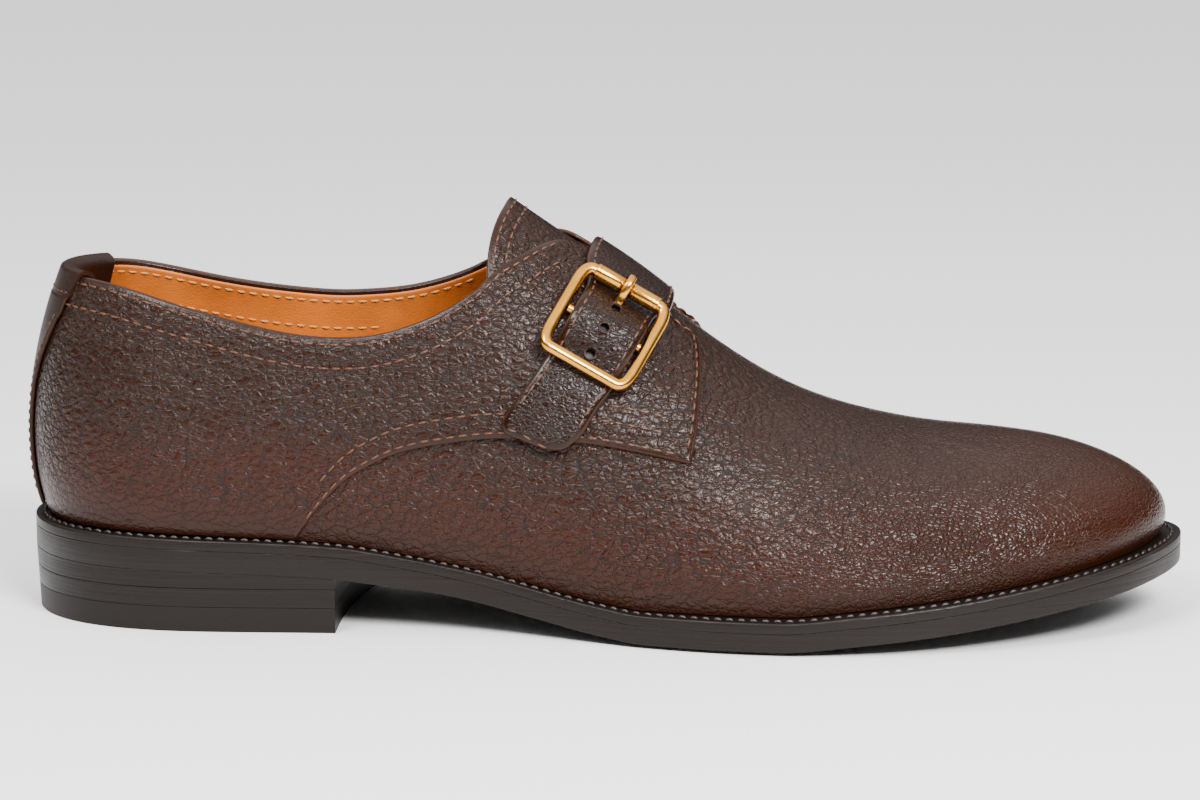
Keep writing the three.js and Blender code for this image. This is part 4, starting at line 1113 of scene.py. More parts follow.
def make_vamp():
    """The vamp from the waist over the toe, hidden under the quarters' edges."""
    outer_start = float(position_at(VAMP_BACK, -1))
    inner_start = float(position_at(VAMP_BACK, 1))
    positions = np.linspace(outer_start, inner_start, 360)
    xs = FOOT_X.at(positions)
    lower = side_line(QUARTER_LOWER, 200)
    cover = level_at_height(positions, np.interp(xs, lower[:, 0], lower[:, 1]) + VAMP_COVER)
    hidden = np.clip(np.minimum(cover, 1 - POCKET_GIRTH - 0.02), 0.03, 1)
    open_front = xs > POCKET_FRONT + 0.3
    low_ups, high_ups = np.linspace(0, 1, 36), np.linspace(0, 1, 40)[1:]
    low = low_ups[:, None] * hidden[None]
    high = mix(hidden, np.where(open_front, 1.0, hidden), high_ups[:, None])
    pairs = np.stack(np.broadcast_arrays(positions[None], np.concatenate([low, high])), -1)
    shown = np.ones((len(pairs) - 1, len(positions) - 1), bool)
    shown[len(low_ups) - 1:] = open_front[:-1] & open_front[1:]
    make_sheet("vamp", by_position, pairs, -WALL + LINING_THICKNESS, 0.0, "pebbled_calf",
               sides=(), grain=upper_grain, burnish=upper_burnish, nodes=("upper",), shown=shown)


def quarter_low(pairs):
    """Underside of a quarter: on the lining, and clear of the tongue under its flap."""
    x = FOOT_X.at(pairs[..., 0])
    girth = 1 - pairs[..., 1]
    flap = smooth(POCKET_BACK - 3, POCKET_BACK, x) * smooth(POCKET_GIRTH + 0.04, POCKET_GIRTH, girth)
    return mix(-WALL + LINING_THICKNESS, 0.05, flap)


# Depth of the rolled band along the collar in millimetres
COLLAR_BAND = 8.0


def make_quarter(side, word):
    """One quarter with its rolled collar band and its rows of stitches."""
    pairs = quarter_pairs(side)
    points = placed(by_position, pairs, QUARTER_STEP)
    top_line = points[-1]
    xs = points[..., 0]
    from_top = edge_distance(points, [top_line])

    def swell(_, away):
        band = np.exp(-((from_top - 4.9) / 2.0) ** 2) * smooth(THROAT_FRONT, THROAT_BACK, xs)
        ripple = 0.5 + 0.5 * np.sin(xs * 1.55 + from_top * 1.2 + 1.3 * np.sin(xs * 0.37))
        return band * (0.22 + 0.2 * ripple)

    opened = int((FOOT_X.at(pairs[-1, :, 0]) < THROAT_FRONT).sum())
    make_sheet("quarter_" + word, by_position, pairs, quarter_low(pairs), QUARTER_STEP, "pebbled_calf",
               sides=("start", (-1, slice(0, opened)), "front"), rounding=0.6, swell=swell,
               grain=upper_grain, burnish=upper_burnish)
    along = FOOT_X.at(pairs[0, :, 0])
    edge = along > 0.25 * SOLE_LENGTH
    crest = along < 0.48 * SOLE_LENGTH
    rows = ("start", 1.6, edge, slice(None, -6)), ("start", 6.4, edge, slice(4, -8)), \
        ("front", 1.6, slice(None), slice(8, -3)), ("start", 10.6, edge, slice(-22, -8)), \
        ("end", 2.0, crest, slice(3, None)), ("end", COLLAR_BAND, crest, slice(3, None))
    lines = [inset(by_position, pairs, side, distance)[part][kept] for side, distance, part, kept in rows]
    sew("quarter_stitching_" + word, by_position, lines, QUARTER_STEP + 0.06, "upper_thread")


def make_lining():
    """Kip lining of the quarters, seen through the collar, and the plainer one of the vamp."""
    ups = fine_shares(30, end=True)
    parts = []
    for side in (-1, 1):
        back = 0.0 if side < 0 else FOOT_PERIOD
        front = float(position_at(POCKET_FRONT, side))
        positions = np.linspace(back, front, 130)
        xs = FOOT_X.at(positions)
        collar = first_level(positions, lambda p: p[..., 2] - collar_height(p[..., 0], side) + 1.1)
        under = 1 - POCKET_GIRTH - 0.008
        top = mix(collar, np.minimum(collar, under), smooth(POCKET_BACK + 1.5, POCKET_BACK + 3.5, xs))
        pairs = np.stack(np.broadcast_arrays(positions[None], ups[:, None] * top[None]), -1)
        parts.append(pairs if side < 0 else pairs[:, ::-1])
    outer, inner = parts
    inner = inner.copy()
    inner[..., 0] -= FOOT_PERIOD
    pairs = np.concatenate([inner, outer[:, 1:]], axis=1)
    make_sheet("lining", by_position, pairs, -WALL, -WALL + LINING_THICKNESS, "kip_lining",
               sides=("end",))
    around_toe = np.linspace(float(position_at(POCKET_FRONT, -1)), float(position_at(POCKET_FRONT, 1)), 170)
    levels = np.linspace(0, 1, 30)
    toe_pairs = np.stack(np.broadcast_arrays(around_toe[None], levels[:, None]), -1)
    make_sheet("vamp_lining", by_position, toe_pairs, -WALL, -WALL + LINING_THICKNESS, "kip_lining",
               sides=())
    seam = inset(by_position, pairs, "end", 1.6, -WALL)
    band = inset(by_position, pairs, "end", 9.0, -WALL)
    xs = FOOT_X.at(seam[:, 0])
    kept = (xs < 0.385 * SOLE_LENGTH)
    sew_inside("lining_stitching", [seam[kept], band[kept & (xs < 0.3 * SOLE_LENGTH)]], -WALL - 0.05)


def sew_inside(name, lines, offset):
    """Rows of stitches on the lining, facing into the shoe."""
    points, faces = stitch_shapes([placed(by_position, line, offset) for line in lines],
                                  [-facing(by_position, line) for line in lines], *common_stitch())
    make_piece(name, np.array(points), faces, "lining_thread")


def make_tongue():
    """The tongue under the quarters, with its lining and the seam along its top."""
    edge = POCKET_GIRTH - 0.002
    girths = mix(-edge, edge, fine_shares(44, start=True, end=True))
    share = np.minimum(1, np.abs(girths) / TONGUE_SHOULDER)
    back = mix(TONGUE_CREST, TONGUE_BACK, share * share * (3 - 2 * share))
    along = fine_shares(22, start=True)
    xs = mix(back[None], POCKET_FRONT - GAP, along[:, None])
    pairs = np.stack([xs, np.broadcast_to(girths, xs.shape)], -1)
    split = -TONGUE_GAP - 1.1
    make_sheet("tongue_leather", by_girth, pairs, split, -TONGUE_GAP, "pebbled_calf",
               sides=("start", "rear", "front"), nodes=("tongue",))
    inner = pairs[:, 2:-2].copy()
    inner[..., 0] += 0.6
    make_sheet("tongue_lining", by_girth, inner, -TONGUE_GAP - TONGUE_THICKNESS, split, "kip_lining",
               sides=("start", "rear", "front"))
    lines = [inset(by_girth, pairs, "start", d, -TONGUE_GAP)[6:-6] for d in (1.7, 5.0)]
    sew("tongue_stitching", by_girth, lines, -TONGUE_GAP + 0.05, "upper_thread")


# Buckle
def girth_at_distance(distance, towards):
    """Girth on the strap at a distance from the buckle's middle."""
    girths = np.linspace(BUCKLE_GIRTH, towards, 2000)
    reach = np.linalg.norm(strap_middle(girths, 0) - BUCKLE_SEAT, axis=1)
    return float(girths[np.argmax(reach >= distance)] if (reach >= distance).any() else towards)


def buckle_frame():
    """Centre, directions and depth of the buckle, laid over the strap's crown."""
    half = BUCKLE_HEIGHT / 2
    on_strap = STRAP_TOP + BAR_PLAY
    above = strap_middle(girth_at_distance(half, 0), on_strap + WIRE_RADIUS + GAP + ROLLER_WALL)
    below = strap_middle(girth_at_distance(half, STRAP_ROWS[0, 0]), on_strap + WIRE_RADIUS)
    x = (STRAP_REAR.at(BUCKLE_GIRTH) + STRAP_FRONT.at(BUCKLE_GIRTH)) / 2
    ends = placed(by_girth, np.array([(x - 5, BUCKLE_GIRTH), (x + 5, BUCKLE_GIRTH)]), 0.0)
    down = unit(below - above)
    along = ends[1] - ends[0]
    across = unit(along - down * along.dot(down))
    out = unit(-np.cross(across, down))
    centre = (above + below) / 2
    return centre, down, across, out, float((BUCKLE_SEAT - centre).dot(out))


BUCKLE_CENTRE, BUCKLE_DOWN, BUCKLE_ACROSS, BUCKLE_OUT, BUCKLE_LEVEL = buckle_frame()
BAR_HEIGHT = STRAP_SEAT + RING_WALL + GAP + BAR_RADIUS


def buckle_points(rows):
    """Points of the buckle: down the strap, across it and out from the frame's plane."""
    rows = np.atleast_2d(np.asarray(rows, float))
    down, across, out = rows[:, :1], rows[:, 1:2], rows[:, 2:]
    return BUCKLE_CENTRE + down * BUCKLE_DOWN + across * BUCKLE_ACROSS + out * BUCKLE_OUT


def swept(path, section, up, closed=False, sizes=None):
    """Points and faces of a section of across and out pairs carried along a path."""
    count, sides = len(path), len(section)
    if closed:
        tangents = unit(np.roll(path, -1, 0) - np.roll(path, 1, 0))
    else:
        tangents = unit(np.gradient(path, axis=0))
    sideways = unit(np.cross(tangents, up))
    outs = unit(np.cross(sideways, tangents))
    sizes = np.ones(count) if sizes is None else np.asarray(sizes)
    points = path[:, None] + sizes[:, None, None] * (section[None, :, :1] * sideways[:, None]
                                                     + section[None, :, 1:] * outs[:, None])
    faces = []
    for i in range(count if closed else count - 1):
        above = (i + 1) % count
        for j in range(sides):
            n = (j + 1) % sides
            faces.append((i * sides + j, i * sides + n, above * sides + n, above * sides + j))
    if not closed:
        faces.append(tuple(range(sides))[::-1])
        faces.append(tuple((count - 1) * sides + j for j in range(sides)))
    return points.reshape(-1, 3), faces


def oval(across, out, sides, power=2.0):
    """A closed section, round at power 2 and squarer above it."""
    angles = np.arange(sides) * 2 * np.pi / sides
    turns = np.stack([np.cos(angles), np.sin(angles)], 1)
    return np.array([across, out]) * np.sign(turns) * np.abs(turns) ** (2 / power)


def lathe(profile, centre, sides=40):
    """A turned ring about the buckle's across direction, from pairs of radius and place."""
    angles = np.arange(sides) * 2 * np.pi / sides
    around_axis = np.cos(angles)[:, None] * BUCKLE_DOWN + np.sin(angles)[:, None] * BUCKLE_OUT
    points, faces = [], []
    for radius, place in profile:
        points.append(centre + place * BUCKLE_ACROSS + radius * around_axis)
    count = len(profile)
    for i in range(count):
        after = (i + 1) % count
        for j in range(sides):
            n = (j + 1) % sides
            faces.append((i * sides + j, i * sides + n, after * sides + n, after * sides + j))
    return np.concatenate(points), faces


def turned_ring(end, centre):
    """A turned ring that is the same at both ends, from the radii and places of one end."""
    return lathe(end + [(radius, -place) for radius, place in end[::-1]], centre)


def joined(parts):
    """Points and faces of some parts as one."""
    points, faces, start = [], [], 0
    for part_points, part_faces in parts:
        points.append(np.asarray(part_points))
        faces += [tuple(int(index) + start for index in face) for face in part_faces]
        start += len(part_points)
    return np.concatenate(points), faces


def frame_path():
    """Centre line of the wire: straight bars joined by corners that run further down the sides."""
    v, u = BUCKLE_WIDTH / 2, BUCKLE_HEIGHT / 2
    rows = []
    turns = np.linspace(0, 1, 11)[:, None]
    for down, across, from_side in ((u, v, True), (u, -v, False), (-u, -v, True), (-u, v, False)):
        corner = np.array([down, across])
        on_side = np.array([down - math.copysign(CORNER_DOWN, down), across])
        on_bar = np.array([down, across - math.copysign(CORNER_ACROSS, across)])
        start, end = (on_side, on_bar) if from_side else (on_bar, on_side)
        bend = (1 - turns) ** 2 * start + 2 * turns * (1 - turns) * corner + turns ** 2 * end
        rows.append(bend)
    path = []
    for k, bend in enumerate(rows):
        path.append(bend)
        after = rows[(k + 1) % 4][0]
        straight = np.linspace(bend[-1], after, 8)[1:-1]
        path.append(straight)
    flat = np.concatenate(path)
    return buckle_points(np.column_stack([flat, np.zeros(len(flat))]))


# The prong's line: down and out in reaches, first from the centre bar and then from the roller
PRONG_REACH = WIRE_RADIUS + GAP + ROLLER_WALL + GAP + PRONG_RADIUS
PRONG_BAR_ROWS = np.array([(-0.49, 0.03), (-1.27, -0.12), (-2.34, 0.21)])
PRONG_ROLLER_ROWS = np.array([(1.04, 0.45), (0.72, 0.75), (0, 1.015), (-0.78, 0.64)])


def prong_path(trim, steps):
    """The prong's centre line, from the centre bar over the roller."""
    top = -BUCKLE_HEIGHT / 2
    bar = BUCKLE_LEVEL + BAR_HEIGHT
    rows = [(down * PRONG_REACH, bar + out * PRONG_REACH) for down, out in PRONG_BAR_ROWS]
    rows += [(top + down * PRONG_REACH, out * PRONG_REACH) for down, out in PRONG_ROLLER_ROWS]
    rows[0] = (rows[0][0] - trim, rows[0][1])
    points = buckle_points([(down, 0, out) for down, out in rows])
    knots = np.concatenate([[0], np.cumsum(np.sqrt(np.linalg.norm(np.diff(points, axis=0), axis=1)))])
    curves = [Curve(knots, points[:, axis]) for axis in range(3)]
    at = np.linspace(0, knots[-1], steps)
    return np.stack([curve.at(at) for curve in curves], 1)


# The roller's turned grooves: how far they start and end from its ends, and how deep they are
GROOVE_PLACES = (0.9, 1.0, 1.15, 1.25)
GROOVE_DEPTH = 0.12
# The prong's worn band in the middle of the roller
BAND_HALF = 1.25


def make_buckle():
    """The frame with its centre bar, the roller and the prong."""
    wire = swept(frame_path(), oval(WIRE_RADIUS * 1.1, WIRE_RADIUS, 24, 2.2), BUCKLE_OUT, closed=True)
    bar_level = BUCKLE_LEVEL + BAR_HEIGHT
    places = np.linspace(-BUCKLE_WIDTH / 2, BUCKLE_WIDTH / 2, 9)
    ends = buckle_points([(0, place, bar_level) for place in places])
    bar = swept(ends, oval(BAR_RADIUS, BAR_RADIUS, 14), BUCKLE_OUT)
    points, faces = joined([wire, bar])
    make_piece("buckle_frame_cast", points, faces, "brass", nodes=("buckle_frame",))
    length = BUCKLE_WIDTH - 2 * CORNER_ACROSS - ROLLER_PLAY
    inner = WIRE_RADIUS + 0.5 * GAP
    outer = WIRE_RADIUS + GAP + ROLLER_WALL
    half = length / 2
    turned = outer - GROOVE_DEPTH
    end = [(inner, -half), (outer - 0.25, -half), (outer, -half + 0.25)]
    radii = (outer, turned, turned, outer)
    end += [(radius, place - half) for radius, place in zip(radii, GROOVE_PLACES)]
    end += [(outer, -BAND_HALF - 0.2), (outer - 0.1, -BAND_HALF)]
    points, faces = turned_ring(end, buckle_points([(-BUCKLE_HEIGHT / 2, 0, 0)])[0])
    make_piece("buckle_roller_turned", points, faces, "brass", nodes=("buckle_roller",))
    path = prong_path(0, 60)
    share = np.linspace(0, 1, 60)
    sizes = mix(1.0, 0.86, share) * np.sqrt(np.clip((1 - share) * 26, 0.02, 1))
    shank = swept(path, oval(PRONG_RADIUS * 1.25, PRONG_RADIUS * 0.9, 16, 3.0), BUCKLE_OUT, sizes=sizes)
    ring_in, ring_out, ring_half = BAR_RADIUS + GAP, BAR_RADIUS + GAP + RING_WALL, RING_LENGTH / 2
    ring = turned_ring([(ring_in, -ring_half), (ring_out - 0.15, -ring_half), (ring_out, -ring_half + 0.2)],
                       buckle_points([(0, 0, bar_level)])[0])
    points, faces = joined([shank, ring])
    make_piece("buckle_prong_bent", points, faces, "brass", nodes=("buckle_prong",))


def cut_holes(piece, shapes):
    """Punches closed shapes out of a piece, one at a time."""
    for points, faces in shapes:
        mesh = bpy.data.meshes.new("punch")
        mesh.from_pydata(in_metres(points).tolist(), [], [tuple(face) for face in faces])
        body = bmesh.new()
        body.from_mesh(mesh)
        bmesh.ops.recalc_face_normals(body, faces=body.faces)
        body.to_mesh(mesh)
        body.free()
        punch = bpy.data.objects.new("punch", mesh)
        bpy.context.scene.collection.objects.link(punch)
        tool = piece.modifiers.new("holes", "BOOLEAN")
        tool.operation = "DIFFERENCE"
        tool.solver = "EXACT"
        tool.object = punch
        before = len(piece.data.polygons)
        with bpy.context.temp_override(object=piece, active_object=piece, selected_objects=[piece]):
            bpy.ops.object.modifier_apply(modifier=tool.name)
        bpy.data.objects.remove(punch)
        bpy.data.meshes.remove(mesh)
        if len(piece.data.polygons) < before / 2:
            raise RuntimeError("a punch removed more of the piece than its hole")


def make_strap():
    """The strap with its slot, punched holes and seam."""
    ends = STRAP_ROWS[0, 0], STRAP_ROWS[-1, 0]
    girths = mix(ends[0], ends[1], fine_shares(150, start=True, end=True))
    across = fine_shares(14, start=True, end=True)
    pairs = np.stack(np.broadcast_arrays(girths[:, None], across[None]), -1)

    def swell(points, _):
        away = np.abs(points[..., 1] - 0.5) * 2
        return 0.18 * (1 - away ** 4)

    piece = make_sheet("strap_leather", by_strap, pairs, STRAP_SEAT, STRAP_TOP, "strap_calf",
                       swell=swell, nodes=("strap",))
    slot = PRONG_RADIUS + GAP + 0.05
    cutters = [swept(prong_path(2, 40), oval(slot, slot, 14), BUCKLE_OUT)]
    rims, hole_shadow_discs = [], []
    for up in STRAP_HOLES:
        girth = girth_at_distance(abs(up) * BUCKLE_HEIGHT, 0 if up > 0 else STRAP_ROWS[0, 0])
        pair = np.array([[girth, 0.5]])
        low, high = placed(by_strap, pair, STRAP_SEAT - 1)[0], placed(by_strap, pair, STRAP_SEAT + 4)[0]
        top = placed(by_strap, pair, STRAP_TOP + 0.16)[0]
        axis = unit(high - low)
        side = unit(np.cross(axis, (1.0, 0.0, 0.0)))
        cutters.append(swept(np.array([low, high]), oval(HOLE_RADIUS, HOLE_RADIUS, 24), side))
        turn = np.linspace(0, 2 * np.pi, 33)[:-1, None]
        circle = top + (HOLE_RADIUS + 0.12) * (np.cos(turn) * side + np.sin(turn) * np.cross(axis, side))
        rims.append(swept(circle, oval(0.22, 0.16, 8), axis, closed=True))
        # Painted shadow: a near-black disc of sole ink low in each hole stands for the shade inside it
        bottom = placed(by_strap, pair, STRAP_SEAT + 0.1)[0]
        disc = oval(HOLE_RADIUS + 0.1, HOLE_RADIUS + 0.1, 24)
        hole_shadow_discs.append(swept(np.array([bottom, bottom + 0.2 * axis]), disc, side))
    cut_holes(piece, cutters)
    points, faces = joined(rims)
    # The rings take the lighter edge colour: partly torn fibre, partly a painted highlight
    values = {"rim": np.full(len(points), 0.6)}
    make_piece("strap_hole_rims", points, faces, "band_calf", values)
    points, faces = joined(hole_shadow_discs)
    make_piece("strap_hole_bottoms", points, faces, "sole_edge")
    lines = [inset(by_strap, pairs, side, 1.7, STRAP_SEAT)[7:-7] for side in ("rear", "front")]
    lines += [inset(by_strap, pairs, side, 1.7, STRAP_SEAT)[6:-6] for side in ("start", "end")]
    sew("strap_stitching", by_strap, lines, STRAP_TOP + 0.12, "upper_thread")


# Back strip and heel tab
def back_half(up):
    """Half the back strip's width at a share of the collar's rise."""
    return Curve(BACK_ROWS[:, 0], BACK_ROWS[:, 1] * HALF_WIDTH, gentle=True).at(up)


def back_pairs(levels, shares, offset):
    """Pairs either side of the heel seam, as wide at each level as the strip is there."""
    reach = np.linspace(-60, 60, 241)
    low = foot_height(FOOT_BACK)
    rows = []
    for level in levels:
        points = formed(reach, np.full(reach.shape, level), np.full(reach.shape, offset))
        up = (points[..., 2] - low) / COLLAR_RISE
        limit = back_half(up)
        middle = len(reach) // 2
        out = np.argmax(-points[middle:, 1] > limit[middle:])
        back = np.argmax(points[middle::-1, 1] > limit[middle::-1])
        start, end = reach[middle - back], reach[middle + out]
        rows.append(np.stack([mix(start, end, shares), np.full(len(shares), level)], 1))
    return np.array(rows)


def heel_level(up, offset):
    """Level at the heel seam that stands at a share of the collar's rise."""
    heights = formed(np.zeros(len(LEVELS)), LEVELS, np.full(len(LEVELS), offset))[:, 2]
    return float(np.interp(foot_height(FOOT_BACK) + up * COLLAR_RISE, heights, LEVELS))


def make_back_trim():
    """The strip over the back seam, and the tab above it."""
    inner = QUARTER_STEP + GAP * 0.4
    shares = fine_shares(16, start=True, end=True)
    bottom, seam = heel_level(BACK_ROWS[0, 0], inner), heel_level(TAB_SEAM, inner)
    levels = mix(bottom, seam, fine_shares(44, start=True, end=True))
    pairs = back_pairs(levels, shares, inner)
    make_sheet("back_strip_leather", by_position, pairs, inner, inner + STRIP_THICKNESS, "band_calf",
               nodes=("back_strip",))
    lines = [inset(by_position, pairs, side, 1.3, inner)[8:-8] for side in ("rear", "front")]
    sew("back_strip_stitching", by_position, lines, inner + STRIP_THICKNESS + 0.05, "upper_thread",
        TRIM_STITCH)
    make_heel_tab(shares, seam)


def make_heel_tab(shares, seam):
    """A tab folded over the collar: up the outside, over the rim and down the inside."""
    outside = QUARTER_STEP + GAP * 0.4
    inside = -WALL - GAP * 0.4
    middle = (outside + inside) / 2
    top = heel_level(0.99, outside)
    columns = back_pairs([seam, top], shares, outside)
    low_row, high_row = columns
    positions = high_row[:, 0]
    outer, inner = (first_level(positions % FOOT_PERIOD,
                                lambda p, side=side: p[..., 2] - collar_height(p[..., 0], side))
                    for side in (-1, 1))
    crest = np.where(positions > 0, outer, inner)
    skins = []
    for thickness in (TAB_THICKNESS, 0.0):
        rows = []
        for share in np.linspace(0, 1, 12):
            position = mix(low_row[:, 0], positions, share)
            rows.append(formed(position, mix(np.full(len(crest), seam), crest, share),
                               np.full(len(crest), outside + thickness)))
        edge = formed(positions, crest, np.full(len(crest), middle))
        out = last_normal(positions, crest)
        rise = unit(formed(positions, crest, np.full(len(crest), middle))
                    - formed(positions, crest - 0.02, np.full(len(crest), middle)))
        half = (outside - inside) / 2 + thickness
        for angle in np.linspace(0, math.pi, 15)[1:-1]:
            rows.append(edge + out * half * math.cos(angle)
                        + rise * (GAP + thickness) * 1.15 * math.sin(angle) ** 0.8)
        for share in np.linspace(1, 0, 10):
            rows.append(formed(positions, mix(np.full(len(crest), seam), crest, share),
                               np.full(len(crest), inside - thickness)))
        skins.append(np.array(rows))
    rows, count = skins[0].shape[:2]
    loop = rim_loop(rows, count)
    after = np.roll(loop, -1)
    total = rows * count
    walls = np.stack([loop, after, after + total, loop + total], 1)
    faces = np.concatenate([grid_faces(rows, count), grid_faces(rows, count, total, True), walls])
    points = np.concatenate([skins[0].reshape(-1, 3), skins[1].reshape(-1, 3)])
    rim = np.zeros((rows, count))
    # Lighter side edges on the tab: partly torn fibre, partly a painted highlight
    rim[:, :2] = rim[:, -2:] = 0.7
    values = {"rim": np.concatenate([rim.ravel()] * 2)}
    make_piece("heel_tab_leather", points, faces, "band_calf", values, ("heel_tab",), WELD)
    path = skins[0][2, 3:-3]
    normals = last_normal(low_row[3:-3, 0], np.full(len(path), seam))
    points, faces = stitch_shapes([path], [normals], *TRIM_STITCH)
    make_piece("heel_tab_stitching", np.array(points), faces, "upper_thread")


# Sole
# How far in from the welt's edge its seam runs, and how deep the groove is that it lies in
SEAM_INSET = 2.4
SEAM_GROOVE = 0.12


def make_welt():
    """The welt with its groove and seam."""
    margin = FOOT_MARGIN.at(RING)
    section = rounded_section(-WELT_SEAT, -0.1, WELT_THICKNESS, 0.12, 0.6)
    rings = []
    for move, height in section:
        reach = margin + move if move > -WELT_SEAT else np.full(len(RING), -WELT_SEAT)
        ring = plan_ring(reach, welt_bottom)
        ring[:, 2] += height
        rings.append(ring)
    groove = plan_ring(np.maximum(margin - 2.6, 0.4), welt_top)
    groove[:, 2] -= SEAM_GROOVE
    rings.insert(-1, plan_ring(np.maximum(margin - 1.6, 0.8), welt_top))
    rings.insert(-1, groove)
    rings.insert(-1, plan_ring(0.1, welt_top))
    points = np.concatenate(rings)
    make_piece("welt_leather", points, ring_faces(len(rings), True), "sole_edge",
               nodes=("welt",))
    dense = np.linspace(0, FOOT_PERIOD, 900)
    away = outward(dense) * np.maximum(FOOT_MARGIN.at(dense) - SEAM_INSET, 0.7)[:, None]
    x, y = FOOT_X.at(dense) + away[:, 0], FOOT_Y.at(dense) + away[:, 1]
    line = np.stack([x, y, welt_top(x) - 0.02], 1)
    points, faces = stitch_shapes([line], [np.tile([0.0, 0.0, 1.0], (len(line), 1))], *WELT_STITCH)
    make_piece("welt_stitching", np.array(points), faces, "welt_thread")


# Rings of the tread as shares of the way from the spine to the edge
TREAD_RINGS = (0.3, 0.6, 0.8, 0.92)


def make_outsole():
    """The outsole with its rounded edge, waist and toe spring."""
    margin = FOOT_MARGIN.at(RING)
    spine_x = POLE_XS[POLES]
    spine_y = RIDGE_SIDE.at(spine_x)
    low_edge = plan_ring(margin - 0.5, lambda x: SOLE_BOTTOM.at(x) + EDGE_RISE.at(x) * 0.85)
    rings = []
    for share in TREAD_RINGS:
        x, y = mix(spine_x, low_edge[:, 0], share), mix(spine_y, low_edge[:, 1], share)
        lift = EDGE_RISE.at(x) * 0.85 * smooth(0.7, 1.0, share)
        rings.append(np.stack([x, y, SOLE_BOTTOM.at(x) + lift], 1))
    rings.append(low_edge)
    for move, rise in ((-0.12, 1.0), (0.0, 1.35)):
        rings.append(plan_ring(margin + move, lambda x, rise=rise: SOLE_BOTTOM.at(x) + EDGE_RISE.at(x) * rise
                               + 0.25 * (rise > 1)))
    for move, fall in ((0.0, 0.12), (-0.1, 0.02)):
        rings.append(plan_ring(margin + move, lambda x, fall=fall: outsole_top(x) + 0.15 - fall))
    rings.append(plan_ring(-WELT_SEAT, outsole_top))
    points, faces = closed_form(rings, plan_spine(SOLE_BOTTOM.at), plan_spine(outsole_top))
    make_piece("outsole_leather", points, faces, "sole_edge", nodes=("outsole",))


def heel_ring(inset_by, height, count=90, breast=24):
    """The heel's outline with its hollowed breast, on a height."""
    start, end = float(position_at(BREAST_INNER, 1)), FOOT_PERIOD + float(position_at(BREAST_OUTER, -1))
    positions = np.linspace(start, end, count)
    away = outward(positions) * (FOOT_MARGIN.at(positions) - inset_by)[:, None]
    edge = np.stack([FOOT_X.at(positions), FOOT_Y.at(positions)], 1) + away
    share = np.linspace(0, 1, breast + 2)[1:-1, None]
    front = mix(edge[-1], edge[0], share)
    front[:, :1] -= BREAST_HOLLOW * np.sin(np.pi * share)
    plan = np.concatenate([edge, front])
    return np.column_stack([plan, height(plan[:, 0])])


# The heel's layers: their worn edge, the middle of their plan and the rings that fill it
HEEL_EDGE = 0.1
HEEL_MIDDLE = np.array([BREAST_OUTER / 2, -1.0])
HEEL_FILL = (0.9, 0.6, 0.3)


def heel_slab(name, low, high, finish, node):
    """One layer of the heel between two heights, stepped in towards the floor."""
    def taper(z):
        return HEEL_TAPER * (1 - z / HEEL_HEIGHT)

    middle = HEEL_MIDDLE[0]
    z0, z1 = float(low(middle)), float(high(middle))
    rings = [heel_ring(taper(z0) + HEEL_EDGE, low), heel_ring(taper(z0), lambda x: low(x) + HEEL_EDGE)]
    rings.append(heel_ring(taper(z1), lambda x: high(x) - HEEL_EDGE / 2))
    rings.append(heel_ring(taper(z1) + HEEL_EDGE / 2, high))
    fills, centres = [], []
    for ring, height in ((rings[0], low), (rings[-1], high)):
        plans = [mix(HEEL_MIDDLE, ring[:, :2], share) for share in HEEL_FILL]
        fills.append([np.column_stack([plan, height(plan[:, 0])]) for plan in plans])
        centres.append(np.array([[*HEEL_MIDDLE, float(height(middle))]]))
    loops = fills[0][::-1] + rings + fills[1]
    count = len(rings[0])
    points = np.concatenate(loops + centres)
    k = np.arange(count)
    after = np.roll(k, -1)
    faces = []
    for start in range(0, (len(loops) - 1) * count, count):
        above = start + count
        faces += np.stack([start + k, start + after, above + after, above + k], 1).tolist()
    low_centre, high_centre = len(loops) * count, len(loops) * count + 1
    top = (len(loops) - 1) * count
    for j in range(count):
        n = (j + 1) % count
        faces += [(low_centre, n, j), (high_centre, top + j, top + n)]
    make_piece(name, points, faces, finish, nodes=(node,))


def level_line(value):
    """A flat height, in the form that the heel's layers take."""
    return lambda x: value + 0.0 * x


def make_heel():
    """The rubber top piece and the two lifts over it."""
    middle = TOP_PIECE_THICKNESS + (HEEL_HEIGHT - TOP_PIECE_THICKNESS) / 2
    heel_slab("heel_top_rubber", level_line(0.0), level_line(TOP_PIECE_THICKNESS), "heel_rubber",
              "heel_top_piece")
    heel_slab("heel_lift_low", level_line(TOP_PIECE_THICKNESS + 0.06), level_line(middle), "sole_edge",
              "heel_lift_lower")
    heel_slab("heel_lift_high", level_line(middle + 0.06), lambda x: SOLE_BOTTOM.at(x) - 0.04, "sole_edge",
              "heel_lift_upper")


def make_footbed():
    """The footbed inside the upper, dished towards its middle."""
    edge = -WALL - GAP
    rings = [plan_ring(edge, foot_height)]
    for move, rise in ((0, 0.75), (-0.35, 0.95), (-0.9, 1.0), (-6, 0.93), (-14, 0.88)):
        rings.append(plan_ring(edge + move, lambda x, rise=rise: foot_height(x) + INSOLE_THICKNESS * rise))
    points, faces = closed_form(rings, plan_spine(foot_height),
                                plan_spine(lambda x: foot_height(x) + INSOLE_THICKNESS * 0.86))
    make_piece("footbed_leather", points, faces, "kip_lining", nodes=("insole",))


# Stage: floor, soft lights and the photograph's camera
CAMERA_TARGET = np.array([147.56, 0.0, 54.38])
CAMERA_PLACE = np.array([198.934, -980.282, 245.192])
LENS = 115.9
# A hair under the sole, so that the two faces do not share one plane
FLOOR = -0.00006


def aimed(made, target):
    """Turns a light or the camera towards a point."""
    direction = Vector(target) - made.location
    made.rotation_euler = direction.to_track_quat("-Z", "Y").to_euler()


